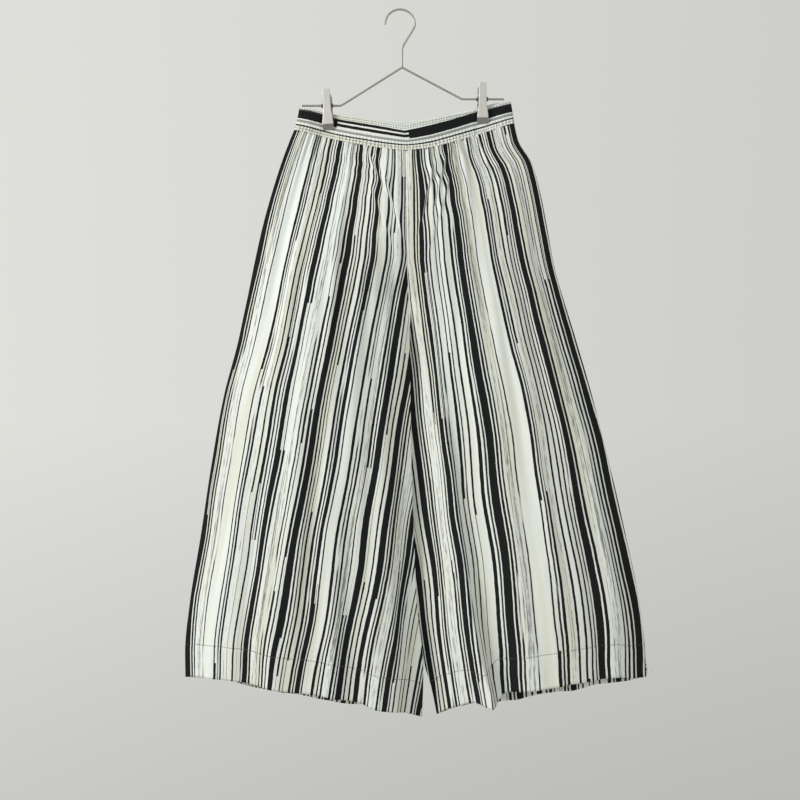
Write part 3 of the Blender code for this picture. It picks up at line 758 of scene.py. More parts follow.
def print_marks(tree, position, chart, strip_width):
    """The charted marks at a position across the cloth, in metres: ink, pencil and brush masks."""
    wrapped = maths(tree, "FLOORED_MODULO", position, strip_width * MM * len(chart))
    total = None
    for order, strip in enumerate(chart):
        place = maths(tree, "MULTIPLY_ADD", wrapped, 1 / (strip_width * MM), -order)
        ramp = add_node(tree, "ShaderNodeValToRGB", {0: place})
        stops = ramp.color_ramp
        stops.interpolation = "CONSTANT"
        stops.elements.remove(stops.elements[1])
        stops.elements[0].color = (0, 0, 0, 1)
        for start, width, mark in strip:
            stops.elements.new(start / strip_width).color = (*mark, 1)
            stops.elements.new((start + width) / strip_width).color = (0, 0, 0, 1)
        if total is None:
            total = ramp.outputs["Color"]
        else:
            total = add_node(tree, "ShaderNodeVectorMath", {0: total, 1: ramp.outputs["Color"]},
                             operation="ADD").outputs[0]
    return add_node(tree, "ShaderNodeSeparateXYZ", {0: total}).outputs


def leg_marks(tree, across, down):
    """The legs' print, in whose cells some bars are drawn back on one side by a step."""
    cell = maths(tree, "SNAP", across, CELL_WIDTH)
    offset = add_node(tree, "ShaderNodeTexWhiteNoise", {"W": cell}, noise_dimensions="1D").outputs["Value"]
    length = maths(tree, "SNAP", maths(tree, "MULTIPLY_ADD", offset, CELL_STAGGER, down), CELL_LENGTH)
    spot = add_node(tree, "ShaderNodeCombineXYZ", {0: cell, 1: length}).outputs[0]
    chance = add_node(tree, "ShaderNodeTexWhiteNoise", {"Vector": spot}, noise_dimensions="2D")
    drawn_back = ranged(tree, chance.outputs["Value"], *DRAWN_BACK_ABOVE, 0.0, DRAWN_BACK_BY)
    whole = print_marks(tree, across, PRINT_CHART, STRIP_WIDTH)
    stepped = print_marks(tree, maths(tree, "ADD", across, drawn_back), PRINT_CHART, STRIP_WIDTH)
    return maths(tree, "MINIMUM", whole["X"], stepped["X"]), whole["Y"], whole["Z"]


def band_marks(tree, across, down):
    """The waistband's print, whose broad bar is divided for part of its way round."""
    whole = print_marks(tree, across, BAND_CHART, BAND_STRIP_WIDTH)
    divided = print_marks(tree, across, DIVIDED_BAND_CHART, BAND_STRIP_WIDTH)
    here = maths(tree, "MULTIPLY", maths(tree, "GREATER_THAN", down, DIVIDED_FROM),
                 maths(tree, "LESS_THAN", down, DIVIDED_TO))
    return [add_node(tree, "ShaderNodeMix", {"Factor": here, 2: whole[axis], 3: divided[axis]}).outputs[0]
            for axis in ("X", "Y", "Z")]


def printed_cotton(name, marks, waver, bend, print_strength):
    """Plain-weave cotton, pigment printed with brush-drawn stripes.

    The pigment soaks in, so bars and ground are equally matt. Bar edges waver, bars step in
    width where the brush was lifted, and dry-brushed bands break up into streaks. The reverse of
    the cloth shows the print faintly.
    """
    cloth = cloth_settings()
    material, tree, shader = new_material(name)
    cut = add_node(tree, "ShaderNodeUVMap", uv_map="cut").outputs[0]
    axes = add_node(tree, "ShaderNodeSeparateXYZ", {0: cut})
    across, down = axes.outputs["X"], axes.outputs["Y"]

    # Bars bend together where the cloth is pulled; their edges waver, and tremble on top of that.
    waves = COTTON_WAVES
    bent = swung(tree, noise(tree, cut, waves["bend"], 0.0), bend)
    slow = swung(tree, noise(tree, cut, waves["slow_waver"]), 3.2 * waver)
    fine = swung(tree, noise(tree, cut, waves["fine_waver"], 2.0), waver)
    wavered = maths(tree, "ADD", maths(tree, "ADD", across, bent), maths(tree, "ADD", slow, fine))
    ink, pencil, brush = marks(tree, wavered, down)

    # Pencil-thin lines come and go; dry-brushed bands are long streaks broken by finer flecks.
    kept = ranged(tree, noise(tree, cut, waves["pencil"], 2.0), 0.34, 0.42)
    line = maths(tree, "MULTIPLY", maths(tree, "MULTIPLY", pencil, kept), 0.98)
    streaks = noise(tree, cut, waves["streaks"], 2.0, 0.6)
    flecks = noise(tree, cut, waves["flecks"], 2.0, 0.6)
    dry = ranged(tree, maths(tree, "MULTIPLY_ADD", flecks, 0.45, streaks), 0.70, 0.84)
    grey = maths(tree, "MULTIPLY", brush, dry)

    # The ground drifts between a warm and a cool ivory.
    drift = noise(tree, cut, waves["drift"])
    ground = mixed(tree, ranged(tree, drift, 0.52, 0.62), linear(cloth.ground), linear(cloth.ground_warm))
    ground = mixed(tree, ranged(tree, drift, 0.46, 0.34), ground, linear(cloth.ground_cool))
    greyed = maths(tree, "MULTIPLY", grey, 0.72 * print_strength)
    inked = maths(tree, "MULTIPLY", maths(tree, "MAXIMUM", ink, line), 0.985 * print_strength)
    colour = mixed(tree, inked, mixed(tree, greyed, ground, linear(cloth.brush)), linear(cloth.ink))
    tree.links.new(colour, shader.inputs["Base Color"])

    # Threads are 0.25 mm apart, too fine to show, so the weave is drawn at 0.8 mm; the crinkle
    # is what light cotton keeps from washing.
    weave = noise(tree, cut, waves["weave"])
    crinkle = noise(tree, cut, waves["crinkle"], 3.0, 0.55)
    weave_bump = add_node(tree, "ShaderNodeBump", {"Strength": 0.25, "Distance": 0.0002, "Height": weave})
    crinkle_bump = add_node(tree, "ShaderNodeBump", {"Strength": 0.55, "Distance": 0.0012,
                                                     "Height": crinkle, "Normal": weave_bump.outputs[0]})
    tree.links.new(crinkle_bump.outputs[0], shader.inputs["Normal"])
    shader.inputs["Roughness"].default_value = 0.86
    shader.inputs["Specular IOR Level"].default_value = 0.04
    shader.inputs["Sheen Weight"].default_value = 0.02
    shader.inputs["Sheen Roughness"].default_value = 0.5
    return material


def shade(colour, share):
    """A linear colour, darkened or lightened."""
    return [min(part * share, 1.0) for part in colour]


def polyester_thread(name):
    """Spun polyester sewing thread: slightly fuzzy and softly lit, and mottled by its twist."""
    material, tree, shader = new_material(name)
    place = add_node(tree, "ShaderNodeTexCoord").outputs["Object"]
    twist = add_node(tree, "ShaderNodeTexNoise", {"Vector": place, "Scale": 2400.0, "Detail": 1.0})
    thread = linear(cloth_settings().thread)
    colour = mixed(tree, twist.outputs["Fac"], shade(thread, 0.75), shade(thread, 1.2))
    tree.links.new(colour, shader.inputs["Base Color"])
    shader.inputs["Roughness"].default_value = 0.7
    shader.inputs["Sheen Weight"].default_value = 0.2
    return material


def drawn_metal(name, hex_colour):
    """Satin metal, drawn or pressed: fine lines along the work, a little duller where handled."""
    roughness, stretch = METALS[name]
    material, tree, shader = new_material(name)
    place = add_node(tree, "ShaderNodeTexCoord").outputs["Object"]
    lines = noise(tree, place, stretch, 3.0, 0.6)
    smears = add_node(tree, "ShaderNodeTexNoise", {"Vector": place, "Scale": METAL_SMEARS, "Detail": 2.0})
    base = linear(hex_colour)
    colour = mixed(tree, smears.outputs["Fac"], shade(base, 0.88), shade(base, 1.08))
    dull = ranged(tree, smears.outputs["Fac"], 0.3, 0.7, roughness - 0.05, roughness + 0.08)
    bump = add_node(tree, "ShaderNodeBump", {"Strength": 0.2, "Distance": 0.00008, "Height": lines})
    tree.links.new(colour, shader.inputs["Base Color"])
    tree.links.new(dull, shader.inputs["Roughness"])
    tree.links.new(bump.outputs[0], shader.inputs["Normal"])
    shader.inputs["Metallic"].default_value = 1.0
    return material


def find_material(name, maker, *details):
    """The named material, made once."""
    return bpy.data.materials.get(name) or maker(name, *details)


def cloth_materials(name, marks, waver, bend):
    """The face and the reverse of a printed cloth."""
    return (find_material(name, printed_cotton, marks, waver, bend, 1.0),
            find_material(f"{name}_reverse", printed_cotton, marks, waver, bend, REVERSE_PRINT))


def show_face_in_turn_up(mesh):
    """A hem's turn-up shows the cloth's face on its inside, not the paler reverse."""
    turned_up = np.empty(len(mesh.polygons), dtype=bool)
    mesh.attributes["turned_up"].data.foreach_get("value", turned_up)
    material = np.empty(len(mesh.polygons), dtype=np.int32)
    mesh.polygons.foreach_get("material_index", material)
    mesh.polygons.foreach_set("material_index", np.where(turned_up, 0, material))


class TROUSERS_OT_leg_panels(bpy.types.Operator):
    """Makes the four leg panels, gathered, folded and hemmed"""
    bl_idname = "trousers.leg_panels"
    bl_label = "Leg panels"

    def execute(self, context):
        for side in (LEFT, RIGHT):
            for face in (FRONT, BACK):
                self.make_panel(side, face)
        return {"FINISHED"}

    def make_panel(self, side, face):
        names = f"{SIDE_NAMES[side]}_{FACE_NAMES[face]}"
        points, cut = leg_grid(side, face)
        turned_back = (face == BACK) == (side == LEFT)
        mesh = grid_mesh(f"panel_{names}", points, cut, turned_back)
        cloth = cloth_materials("printed_cotton", leg_marks, LEG_WAVER, LEG_BEND)
        panel = link_piece(f"panel_{names}", mesh, *cloth)
        turned_up = mesh.attributes.new("turned_up", "BOOLEAN", "FACE")
        first = PANEL_COLUMNS * (sum(PANEL_ROWS) - PANEL_ROWS[-1])
        turned_up.data.foreach_set("value", np.arange(len(mesh.polygons)) >= first)
        give_thickness(panel, cloth_settings().thickness)
        apply_modifiers(panel)
        show_face_in_turn_up(panel.data)
        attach(panel, BODY)
        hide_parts(f"leg_{names}")


def band_point(face, station, down):
    """The waistband's outer face: a share of its height down from its top edge."""
    station, down = np.broadcast_arrays(np.asarray(station, float), np.asarray(down, float))
    top, seam = band_top(face, station), band_seam(face, station)
    drop = top + (seam - top) * down
    centre = section("left_inside", drop)
    outside = np.where(station < 0, section("left_side", drop), section("right_side", drop))
    across = centre + (outside - centre) * np.abs(station)

    # The cloth swells between the stitched rows and puckers where the elastic draws it in.
    swell = np.ones_like(down)
    for row in BAND_STITCH_ROWS:
        off = (down * BAND_HEIGHT - row) / BAND_ROW_HALF_WIDTH
        swell = swell * (1 - BAND_ROW_PINCH * np.exp(-off ** 2))
    below = smooth_step(down, *PUCKERS_DEEPEN)
    above = 1 - smooth_step(down, *PUCKERS_FADE)
    wandered = station + sum(by * np.sin(times * station) for by, times in PUCKER_WANDER)
    pucker = 0.5 + 0.5 * np.sin(math.pi * BAND_PUCKERS * wandered)
    pucker = pucker * (PUCKER_LEAST + PUCKER_BELOW * below + PUCKER_ABOVE * above)
    edges = smooth_step(1 - np.abs(station), 0.0, PUCKERS_CLEAR_OF_SIDES)
    raised = clear_of_clips(across, drop) * edges
    rise = (BAND_SWELL * swell + cloth_settings().pucker_depth * pucker) * raised
    half_wall = cloth_settings().band_thickness / 2
    stand_off = half_wall * (1 - edges) + (FRAME_BAND_WALL + SEAM_GAP) / 2 * edges
    out = face * (stand_off + half_wall + waist_depth(face, station) + rise)
    return np.stack((across, out, -drop), axis=-1)


def clear_of_clips(across, drop):
    """0 under a clip's jaws, where the band is pinched flat, and 1 away from them."""
    clear = np.ones_like(across)
    for side in (LEFT, RIGHT):
        jaw_across = CLIP_ACROSS[side] + math.tan(CLIP_TILT[side]) * (drop - BAR_DROP[side])
        clear = clear * smooth_step(np.abs(across - jaw_across), *PINCHED_BY_CLIP)
    return clear


class TROUSERS_OT_waistband(bpy.types.Operator):
    """Makes the waistband's front and back, puckered over their elastic"""
    bl_idname = "trousers.waistband"
    bl_label = "Waistband"

    def execute(self, context):
        station = np.linspace(-1.0, 1.0, BAND_STATIONS)
        down = np.linspace(0.0, 1.0, BAND_LEVELS)[:, None]
        for face in (FRONT, BACK):
            points = band_point(face, station[None, :], down)
            around = np.broadcast_to(station * BAND_CUT_HALF_LENGTH, points.shape[:2])
            height = down * BAND_HEIGHT - waist("print_set_down", station) * (1 - down)
            cut = np.stack((height, around), axis=-1)
            name = f"waistband_{FACE_NAMES[face]}"
            mesh = grid_mesh(f"dressed_{name}", points, cut, face == BACK)
            cloth = cloth_materials("printed_cotton_across", band_marks, BAND_WAVER, BAND_BEND)
            band = link_piece(f"dressed_{name}", mesh, *cloth)
            give_thickness(band, cloth_settings().band_thickness)
            apply_modifiers(band)
            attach(band, BODY)
            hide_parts(name)
        return {"FINISHED"}


def stitch_tree():
    """A node tree that sews stitches along the edges of a mesh."""
    tree = bpy.data.node_groups.new("row_of_stitches", "GeometryNodeTree")
    face = tree.interface
    face.new_socket("Geometry", in_out="INPUT", socket_type="NodeSocketGeometry")
    for name in ("Pitch", "Length", "Thickness"):
        face.new_socket(name, in_out="INPUT", socket_type="NodeSocketFloat")
    face.new_socket("Thread", in_out="INPUT", socket_type="NodeSocketMaterial")
    face.new_socket("Geometry", in_out="OUTPUT", socket_type="NodeSocketGeometry")
    start = add_node(tree, "NodeGroupInput").outputs
    line = add_node(tree, "GeometryNodeMeshToCurve", {"Mesh": start["Geometry"]})
    points = add_node(tree, "GeometryNodeResampleCurve", {"Curve": line.outputs[0], "Length": start["Pitch"]},
                      mode="LENGTH")
    ball = add_node(tree, "GeometryNodeMeshUVSphere", {"Segments": 6, "Rings": 4, "Radius": 0.5})
    size = add_node(tree, "ShaderNodeCombineXYZ", {0: start["Length"], 1: start["Thickness"],
                                                   2: start["Thickness"]})
    along = add_node(tree, "GeometryNodeInputTangent")
    turned = add_node(tree, "FunctionNodeAlignRotationToVector", {"Vector": along.outputs[0]}, axis="X")
    placed = add_node(tree, "GeometryNodeInstanceOnPoints",
                      {"Points": points.outputs[0], "Instance": ball.outputs["Mesh"],
                       "Rotation": turned.outputs[0], "Scale": size.outputs[0]})
    real = add_node(tree, "GeometryNodeRealizeInstances", {0: placed.outputs[0]})
    threaded = add_node(tree, "GeometryNodeSetMaterial", {"Geometry": real.outputs[0],
                                                          "Material": start["Thread"]})
    add_node(tree, "NodeGroupOutput", {0: threaded.outputs[0]})
    return tree


def sew(name, lines, thread):
    """Sews stitches along each line of points, and leaves them as one plain mesh."""
    verts, edges = [], []
    for line in lines:
        first = len(verts)
        verts.extend(map(tuple, line))
        edges.extend((first + step, first + step + 1) for step in range(len(line) - 1))
    mesh = bpy.data.meshes.new(name)
    mesh.from_pydata(verts, edges, [])
    stitches = link_piece(name, mesh)
    tree = bpy.data.node_groups.get("row_of_stitches") or stitch_tree()
    modifier = stitches.modifiers.new("stitches", "NODES")
    modifier.node_group = tree
    settings = bpy.context.scene.trousers_stitches
    values = {"Pitch": settings.pitch, "Length": settings.length, "Thickness": settings.thickness,
              "Thread": thread}
    for item in tree.interface.items_tree:
        if item.in_out == "INPUT" and item.name in values:
            modifier[item.identifier] = values[item.name]
    apply_modifiers(stitches)
    stitches.data.shade_smooth()
    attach(stitches, BODY)


class TROUSERS_OT_stitching(bpy.types.Operator):
    """Sews the rows of the waistband and the hems"""
    bl_idname = "trousers.stitching"
    bl_label = "Stitching"

    def execute(self, context):
        thread = find_material("spun_polyester_thread", polyester_thread)
        lift = context.scene.trousers_stitches.thickness * STITCH_LIFT
        station = np.linspace(-BAND_SEWN_TO, BAND_SEWN_TO, BAND_SEWN_POINTS)
        share = np.linspace(HEM_SEWN_FROM, 1 - HEM_SEWN_FROM, HEM_SEWN_POINTS)
        for face in (FRONT, BACK):
            rows = [band_point(face, station, row / BAND_HEIGHT) for row in BAND_STITCH_ROWS]
            for row in rows:
                row[:, 1] += face * lift
            sew(f"waistband_stitches_{FACE_NAMES[face]}", rows, thread)
            for side in (LEFT, RIGHT):
                drop = hem_drop(side, face, share) - HEM_TURN_UP
                line = leg_point(side, face, share, drop)
                line[:, 1] += face * lift
                sew(f"hem_stitches_{SIDE_NAMES[side]}_{FACE_NAMES[face]}", [line], thread)
        return {"FINISHED"}


def rounded_path(corners, radii, steps=12):
    """A path through corners, each turned with its own radius."""
    path = [corners[0]]
    for before, corner, after, radius in zip(corners, corners[1:], corners[2:], radii):
        back, ahead = (before - corner).normalized(), (after - corner).normalized()
        half = back.angle(ahead) / 2
        start, end = corner + back * radius / math.tan(half), corner + ahead * radius / math.tan(half)
        middle = corner + (back + ahead).normalized() * radius / math.sin(half)
        sweep = (start - middle).angle(end - middle)
        for step in range(steps + 1):
            turn = sweep * step / steps
            share = math.sin(turn) / math.sin(sweep)
            rest = math.sin(sweep - turn) / math.sin(sweep)
            path.append(middle + (start - middle) * rest + (end - middle) * share)
    return path + [corners[-1]]


def spline_points(points, steps=8):
    """Points along the smooth curve through the given ones, the first and last as guides."""
    path = []
    for a, b, c, d in zip(points, points[1:], points[2:], points[3:]):
        for step in range(steps):
            t = step / steps
            path.append(0.5 * (2 * b + (c - a) * t + (2 * a - 5 * b + 4 * c - d) * t * t
                               + (3 * b - a - 3 * c + d) * t ** 3))
    return path + [points[-2]]


def wire_mesh(name, path, radius, resolution=4):
    """A round wire along a path, as a closed mesh."""
    curve = bpy.data.curves.new(name, "CURVE")
    curve.dimensions = "3D"
    curve.bevel_depth = radius
    curve.bevel_resolution = resolution
    curve.use_fill_caps = True
    spline = curve.splines.new("POLY")
    spline.points.add(len(path) - 1)
    for point, place in zip(spline.points, path):
        point.co = (*place, 1.0)
    guide = bpy.data.objects.new(name, curve)
    bpy.context.scene.collection.objects.link(guide)
    graph = bpy.context.evaluated_depsgraph_get()
    mesh = bpy.data.meshes.new_from_object(guide.evaluated_get(graph))
    bpy.data.objects.remove(guide, do_unlink=True)
    bpy.data.curves.remove(curve)
    mesh.name = name
    wire = bmesh.new()
    wire.from_mesh(mesh)
    bmesh.ops.remove_doubles(wire, verts=wire.verts, dist=1e-6)
    bmesh.ops.recalc_face_normals(wire, faces=wire.faces)
    wire.to_mesh(mesh)
    wire.free()
    mesh.shade_smooth()
    mesh.set_sharp_from_angle(angle=SHARP_EDGE)
    return mesh


def finished_mesh(name, shape):
    """Turns a bmesh into a mesh, and frees it."""
    mesh = bpy.data.meshes.new(name)
    shape.to_mesh(mesh)
    shape.free()
    return mesh


def join_meshes(name, meshes):
    whole = bmesh.new()
    for mesh in meshes:
        whole.from_mesh(mesh)
        bpy.data.meshes.remove(mesh)
    joined = finished_mesh(name, whole)
    joined.shade_smooth()
    joined.set_sharp_from_angle(angle=SHARP_EDGE)
    return joined


def hanger_frame_path():
    corners = [Vector((across, 0.0, -drop)) for across, drop in (
        (BAR_END_ACROSS[LEFT], BAR_DROP[LEFT]), (SHOULDER_ACROSS[LEFT], BAR_DROP[LEFT]),
        (NECK_ACROSS, APEX_DROP),
        (SHOULDER_ACROSS[RIGHT], BAR_DROP[RIGHT]), (BAR_END_ACROSS[RIGHT], BAR_DROP[RIGHT]))]
    return rounded_path(corners, (SHOULDER_BEND_RADIUS, APEX_BEND_RADIUS, SHOULDER_BEND_RADIUS))


def hanger_hook_path(foot_height):
    middle = Vector((0.0, 0.0, WIRE_RADIUS - HOOK_RADIUS))
    arc = []
    for angle in np.linspace(HOOK_END_ANGLE, HOOK_TURN_ANGLE, HOOK_ARC_STEPS + 1):
        arc.append(middle + HOOK_RADIUS * Vector((math.cos(angle), 0.0, math.sin(angle))))
    neck = [Vector((across, 0.0, -drop)) for across, drop in HOOK_NECK]
    foot = Vector((NECK_ACROSS, 0.0, foot_height))
    return arc[:-1] + spline_points([arc[-2], arc[-1], *neck, foot]) + [foot]


class TROUSERS_OT_hanger_wire(bpy.types.Operator):
    """Bends the hanger's body and hook from round steel wire"""
    bl_idname = "trousers.hanger_wire"
    bl_label = "Hanger wire"

    def execute(self, context):
        steel = find_material("drawn_steel_wire", drawn_metal, context.scene.trousers_hanger.wire)
        path = hanger_frame_path()
        body = link_piece("hanger_body", wire_mesh("hanger_body", path, WIRE_RADIUS), steel)
        apex = max(path, key=lambda point: point.z)
        foot_height = apex.z + WIRE_RADIUS * HOOK_FOOT_RISE
        hook_wire = wire_mesh("hook_wire", hanger_hook_path(foot_height), WIRE_RADIUS)
        bead = bmesh.new()
        bmesh.ops.create_uvsphere(bead, u_segments=20, v_segments=14, radius=WIRE_RADIUS * WELD_RADIUS)
        bead.transform(Matrix.Translation(apex + Vector((0, 0, WIRE_RADIUS * WELD_RISE)))
                       @ Matrix.Diagonal(WELD_SHAPE))
        hook_mesh = join_meshes("hanger_hook", [hook_wire, finished_mesh("weld", bead)])
        hook = link_piece("hanger_hook", hook_mesh, steel)
        for piece, node in ((body, "hanger_frame_wire"), (hook, "hanger_hook_wire")):
            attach(piece, BODY)
            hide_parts(node)
        return {"FINISHED"}


def clip_frame(side):
    place = Matrix.Translation((CLIP_ACROSS[side], 0.0, -BAR_DROP[side]))
    return place @ Matrix.Rotation(-CLIP_TILT[side], 4, "Y")


def jaw_value(name, below):
    return eased(below, column(JAW, JAW_COLUMNS, "below_bar"), column(JAW, JAW_COLUMNS, name))


def jaw_mesh(face, thickness):
    """A pressed plate with its long edges turned in, as a channel, towards the other jaw."""
    rows, columns = JAW_GRID
    top, foot = column(JAW, JAW_COLUMNS, "below_bar")[[0, -1]]
    below = np.linspace(top, foot, rows)[:, None]
    turn = np.linspace(-1.0, 1.0, columns)[None, :]
    half = jaw_value(f"{FACE_NAMES[face]}_half_width", below)
    past_corner = smooth_step(below - top, *JAW_CORNER)
    across = half * turn * (1 - JAW_CORNER_NARROWING * (1 - past_corner))
    turned_in = JAW_EDGE_TURN * smooth_step(np.abs(turn), JAW_EDGE_FROM, 1.0)
    out = jaw_value("stand_off", below) + thickness / 2 - turned_in
    points = np.stack(np.broadcast_arrays(across, face * out, -below), axis=-1)
    cut = np.zeros((*points.shape[:2], 2))
    mesh = grid_mesh("jaw", points, cut, face == BACK)
    # The lip below the line takes the darker steel as painted shade, and so does the plate's inside.
    for polygon in mesh.polygons:
        polygon.material_index = PAINTED_SHADE_SLOT if polygon.center.z < -JAW_PAINTED_SHADE_BELOW else PLATE_SLOT
    return mesh


def flange_mesh(face, across, thickness):
    """A jaw's side flange: it narrows from the plate to a round lug on the bar that it turns on."""
    lug = bmesh.new()
    outline = list(FLANGE_OUTLINE[face])
    for step in range(LUG_ARC_STEPS + 1):
        angle = math.radians(LUG_ARC_FROM + LUG_ARC_SWEEP * step / LUG_ARC_STEPS)
        outline.append((FLANGE_LUG_RADIUS * math.cos(angle), FLANGE_LUG_RADIUS * math.sin(angle)))
    corners = [lug.verts.new((across - thickness / 2, face * out, height)) for out, height in outline]
    base = lug.faces.new(corners)
    grown = bmesh.ops.extrude_face_region(lug, geom=[base])
    moved = [item for item in grown["geom"] if isinstance(item, bmesh.types.BMVert)]
    bmesh.ops.translate(lug, verts=moved, vec=(thickness, 0, 0))
    bmesh.ops.recalc_face_normals(lug, faces=lug.faces)
    bmesh.ops.bevel(lug, geom=lug.edges[:], offset=FLANGE_EDGE, segments=2, affect="EDGES")
    # The flanges are all in the darker steel: painted shade.
    for polygon in lug.faces:
        polygon.material_index = PAINTED_SHADE_SLOT
    return finished_mesh("flange", lug)


def bushing_mesh(turn):
    """A short ring on the bar beside the clip, which keeps it from sliding freely."""
    ring = bmesh.new()
    bmesh.ops.create_cone(ring, cap_ends=True, segments=24, radius1=BUSHING_RADIUS, radius2=BUSHING_RADIUS,
                          depth=BUSHING_TO - BUSHING_FROM)
    middle = turn * (BUSHING_FROM + BUSHING_TO) / 2
    ring.transform(Matrix.Translation((middle, 0.0, 0.0)) @ Matrix.Rotation(math.radians(90), 4, "Y"))
    bmesh.ops.bevel(ring, geom=ring.edges[:], offset=BUSHING_EDGE, segments=2, affect="EDGES")
    return finished_mesh("bushing", ring)


def spring_path():
    """A torsion spring wound on the bar, with a leg up each handle."""
    steps = int(SPRING_TURNS * SPRING_STEPS_A_TURN)
    coil = []
    for step in range(steps + 1):
        angle = SPRING_START + 2 * math.pi * SPRING_TURNS * step / steps
        along = (step / steps - 0.5) * SPRING_TURNS * SPRING_PITCH
        coil.append(Vector((along, SPRING_RADIUS * math.cos(angle), SPRING_RADIUS * math.sin(angle))))
    front_leg = [Vector((coil[-1].x, FRONT * out, height)) for out, height in SPRING_LEG]
    back_leg = [Vector((coil[0].x, BACK * out, height)) for out, height in reversed(SPRING_LEG)]
    return back_leg + coil + front_leg


class TROUSERS_OT_clips(bpy.types.Operator):
    """Makes both spring clips: pressed jaws with their flanges, bushings and wound springs"""
    bl_idname = "trousers.clips"
    bl_label = "Clips"

    def execute(self, context):
        look = context.scene.trousers_hanger
        plate = find_material("satin_nickel_plate", drawn_metal, look.plate)
        steel = find_material("oiled_spring_steel", drawn_metal, look.spring)
        # The darker steel is painted shade for the jaws' lips, flanges and inner faces.
        painted_shade_steel = find_material("painted_shade_plate", drawn_metal, look.painted_shade_steel)
        for side in (LEFT, RIGHT):
            for face in (FRONT, BACK):
                self.make_jaw(side, face, (plate, painted_shade_steel), look.plate_thickness)
            coil = wire_mesh("spring", spring_path(), look.spring_wire / 2, 3)
            spring_wire = join_meshes("spring", [coil, bushing_mesh(LEFT), bushing_mesh(RIGHT)])
            spring_wire.transform(clip_frame(side))
            name = f"clip_{SIDE_NAMES[side]}_spring"
            spring = link_piece(f"wound_{name}", spring_wire, steel)
            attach(spring, BODY)
            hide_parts(name)
        return {"FINISHED"}

    def make_jaw(self, side, face, metals, thickness):
        name = f"clip_{SIDE_NAMES[side]}_{FACE_NAMES[face]}_jaw"
        shell = link_piece("pressed_plate", jaw_mesh(face, thickness), *metals)
        give_thickness(shell, thickness)
        bevel = shell.modifiers.new("edges", "BEVEL")
        bevel.width = thickness / 4
        bevel.segments = 2
        bevel.angle_limit = SHARP_EDGE
        apply_modifiers(shell)
        flanges = [flange_mesh(face, turn * FLANGE_ACROSS[face], thickness) for turn in (LEFT, RIGHT)]
        parts = [shell.data.copy(), *flanges]
        bpy.data.objects.remove(shell, do_unlink=True)
        mesh = join_meshes(f"dressed_{name}", parts)
        mesh.transform(clip_frame(side))
        jaw = link_piece(f"dressed_{name}", mesh, *metals)
        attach(jaw, BODY)
        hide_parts(name)


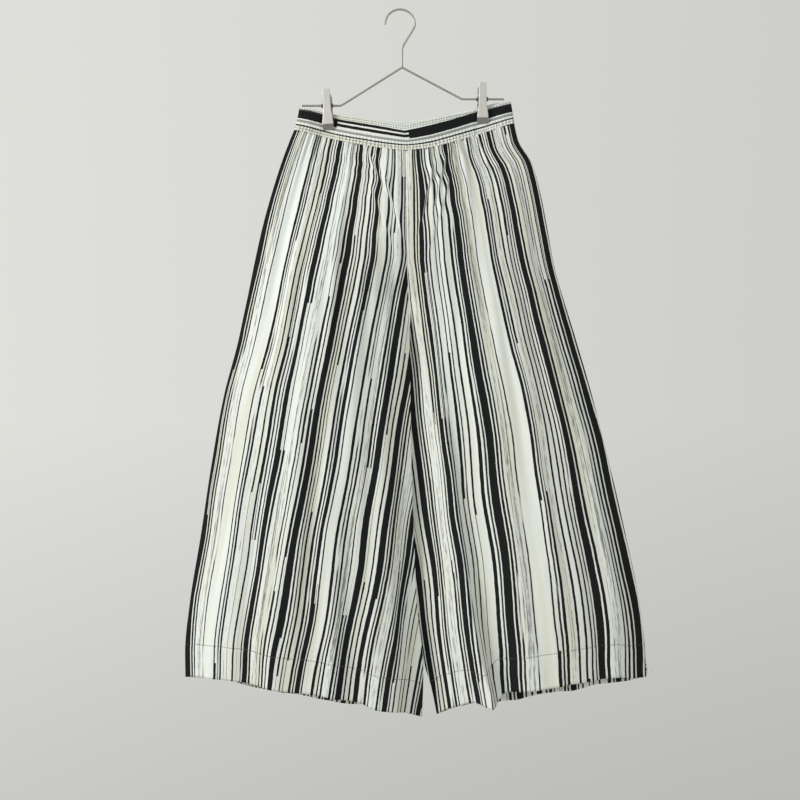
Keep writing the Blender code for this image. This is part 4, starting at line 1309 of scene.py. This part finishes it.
class TROUSERS_OT_stage(bpy.types.Operator):
    """Sets up the floor, the surround, the lights and the camera"""
    bl_idname = "trousers.stage"
    bl_label = "Stage"

    def execute(self, context):
        settings = context.scene.trousers_stage
        self.make_floor(settings)
        self.make_world(context.scene, settings)
        for name, (place, size, power, share) in LIGHTS.items():
            self.make_light(name, place, size, getattr(settings, power) * share)
        camera = bpy.data.cameras.new("camera")
        camera.sensor_width = SENSOR_WIDTH
        camera.lens = camera.sensor_width * settings.camera_distance / settings.frame_width
        place = bpy.data.objects.new("camera", camera)
        context.scene.collection.objects.link(place)
        place.location = (0.0, -settings.camera_distance, -settings.camera_drop)
        place.rotation_euler = (math.radians(90), 0.0, 0.0)
        context.scene.camera = place
        context.scene.view_settings.view_transform = "Standard"
        return {"FINISHED"}

    def make_floor(self, settings):
        """A round pale floor under the hanging trousers, below the camera's view."""
        disc = bmesh.new()
        bmesh.ops.create_circle(disc, cap_ends=True, segments=96, radius=FLOOR_RADIUS)
        bmesh.ops.translate(disc, verts=disc.verts, vec=(0.0, 0.0, -FLOOR_DROP))
        # Matt floor paint.
        material, tree, shader = new_material("painted_floor")
        place = add_node(tree, "ShaderNodeTexCoord").outputs["Object"]
        mottle = add_node(tree, "ShaderNodeTexNoise", {"Vector": place, "Scale": 6.0, "Detail": 4.0})
        pale = linear(settings.backdrop)
        colour = mixed(tree, mottle.outputs["Fac"], shade(pale, 0.94), pale)
        tree.links.new(colour, shader.inputs["Base Color"])
        shader.inputs["Roughness"].default_value = 0.9
        link_piece("floor", finished_mesh("floor", disc), material)

    def make_world(self, scene, settings):
        """A pale surround, brighter on the key light's side and dimmer in front of the cloth."""
        world = bpy.data.worlds.new("surround")
        scene.world = world
        world.use_nodes = True
        tree = world.node_tree
        tree.nodes.clear()
        direction = add_node(tree, "ShaderNodeTexCoord").outputs["Object"]
        axes = add_node(tree, "ShaderNodeSeparateXYZ", {0: direction}).outputs
        sides, height, front = [ranged(tree, axes[axis], *limits) for axis, limits in SURROUND.items()]
        strength = maths(tree, "MULTIPLY", maths(tree, "MULTIPLY", sides, height), front)
        light = add_node(tree, "ShaderNodeBackground", {"Color": linear(settings.backdrop),
                                                        "Strength": strength})
        add_node(tree, "ShaderNodeOutputWorld", {"Surface": light.outputs[0]})

    def make_light(self, name, place, size, power):
        light = bpy.data.lights.new(name, "AREA")
        light.shape = "DISK"
        light.size = size
        light.energy = power
        lamp = bpy.data.objects.new(name, light)
        bpy.context.scene.collection.objects.link(lamp)
        lamp.location = place
        aim = Vector(LIGHT_AIM) - Vector(place)
        lamp.rotation_euler = aim.to_track_quat("-Z", "Y").to_euler()


class TROUSERS_PT_panel(bpy.types.Panel):
    """Lists the trousers' pieces and their settings"""
    bl_idname = "TROUSERS_PT_panel"
    bl_label = "Trousers"
    bl_space_type = "VIEW_3D"
    bl_region_type = "UI"
    bl_category = "Trousers"

    def draw(self, context):
        for group in ("trousers_cloth", "trousers_stitches", "trousers_hanger", "trousers_stage"):
            settings = getattr(context.scene, group)
            box = self.layout.box()
            for name in settings.__annotations__:
                box.prop(settings, name)
        for operator in OPERATORS:
            self.layout.operator(operator.bl_idname)


SETTINGS = {
    "trousers_cloth": TrousersClothSettings,
    "trousers_stitches": TrousersStitchSettings,
    "trousers_hanger": TrousersHangerSettings,
    "trousers_stage": TrousersStageSettings,
}
OPERATORS = (
    TROUSERS_OT_stage,
    TROUSERS_OT_leg_panels,
    TROUSERS_OT_waistband,
    TROUSERS_OT_stitching,
    TROUSERS_OT_hanger_wire,
    TROUSERS_OT_clips,
)
CLASSES = (*SETTINGS.values(), *OPERATORS, TROUSERS_PT_panel)


def register():
    for cls in CLASSES:
        bpy.utils.register_class(cls)
    for name, settings in SETTINGS.items():
        setattr(bpy.types.Scene, name, bpy.props.PointerProperty(type=settings))


def unregister():
    for name in SETTINGS:
        delattr(bpy.types.Scene, name)
    for cls in reversed(CLASSES):
        bpy.utils.unregister_class(cls)


def main():
    register()
    bpy.ops.trousers.stage()
    bpy.ops.trousers.leg_panels()
    bpy.ops.trousers.waistband()
    bpy.ops.trousers.stitching()
    bpy.ops.trousers.hanger_wire()
    bpy.ops.trousers.clips()


if __name__ == "__main__":
    main()
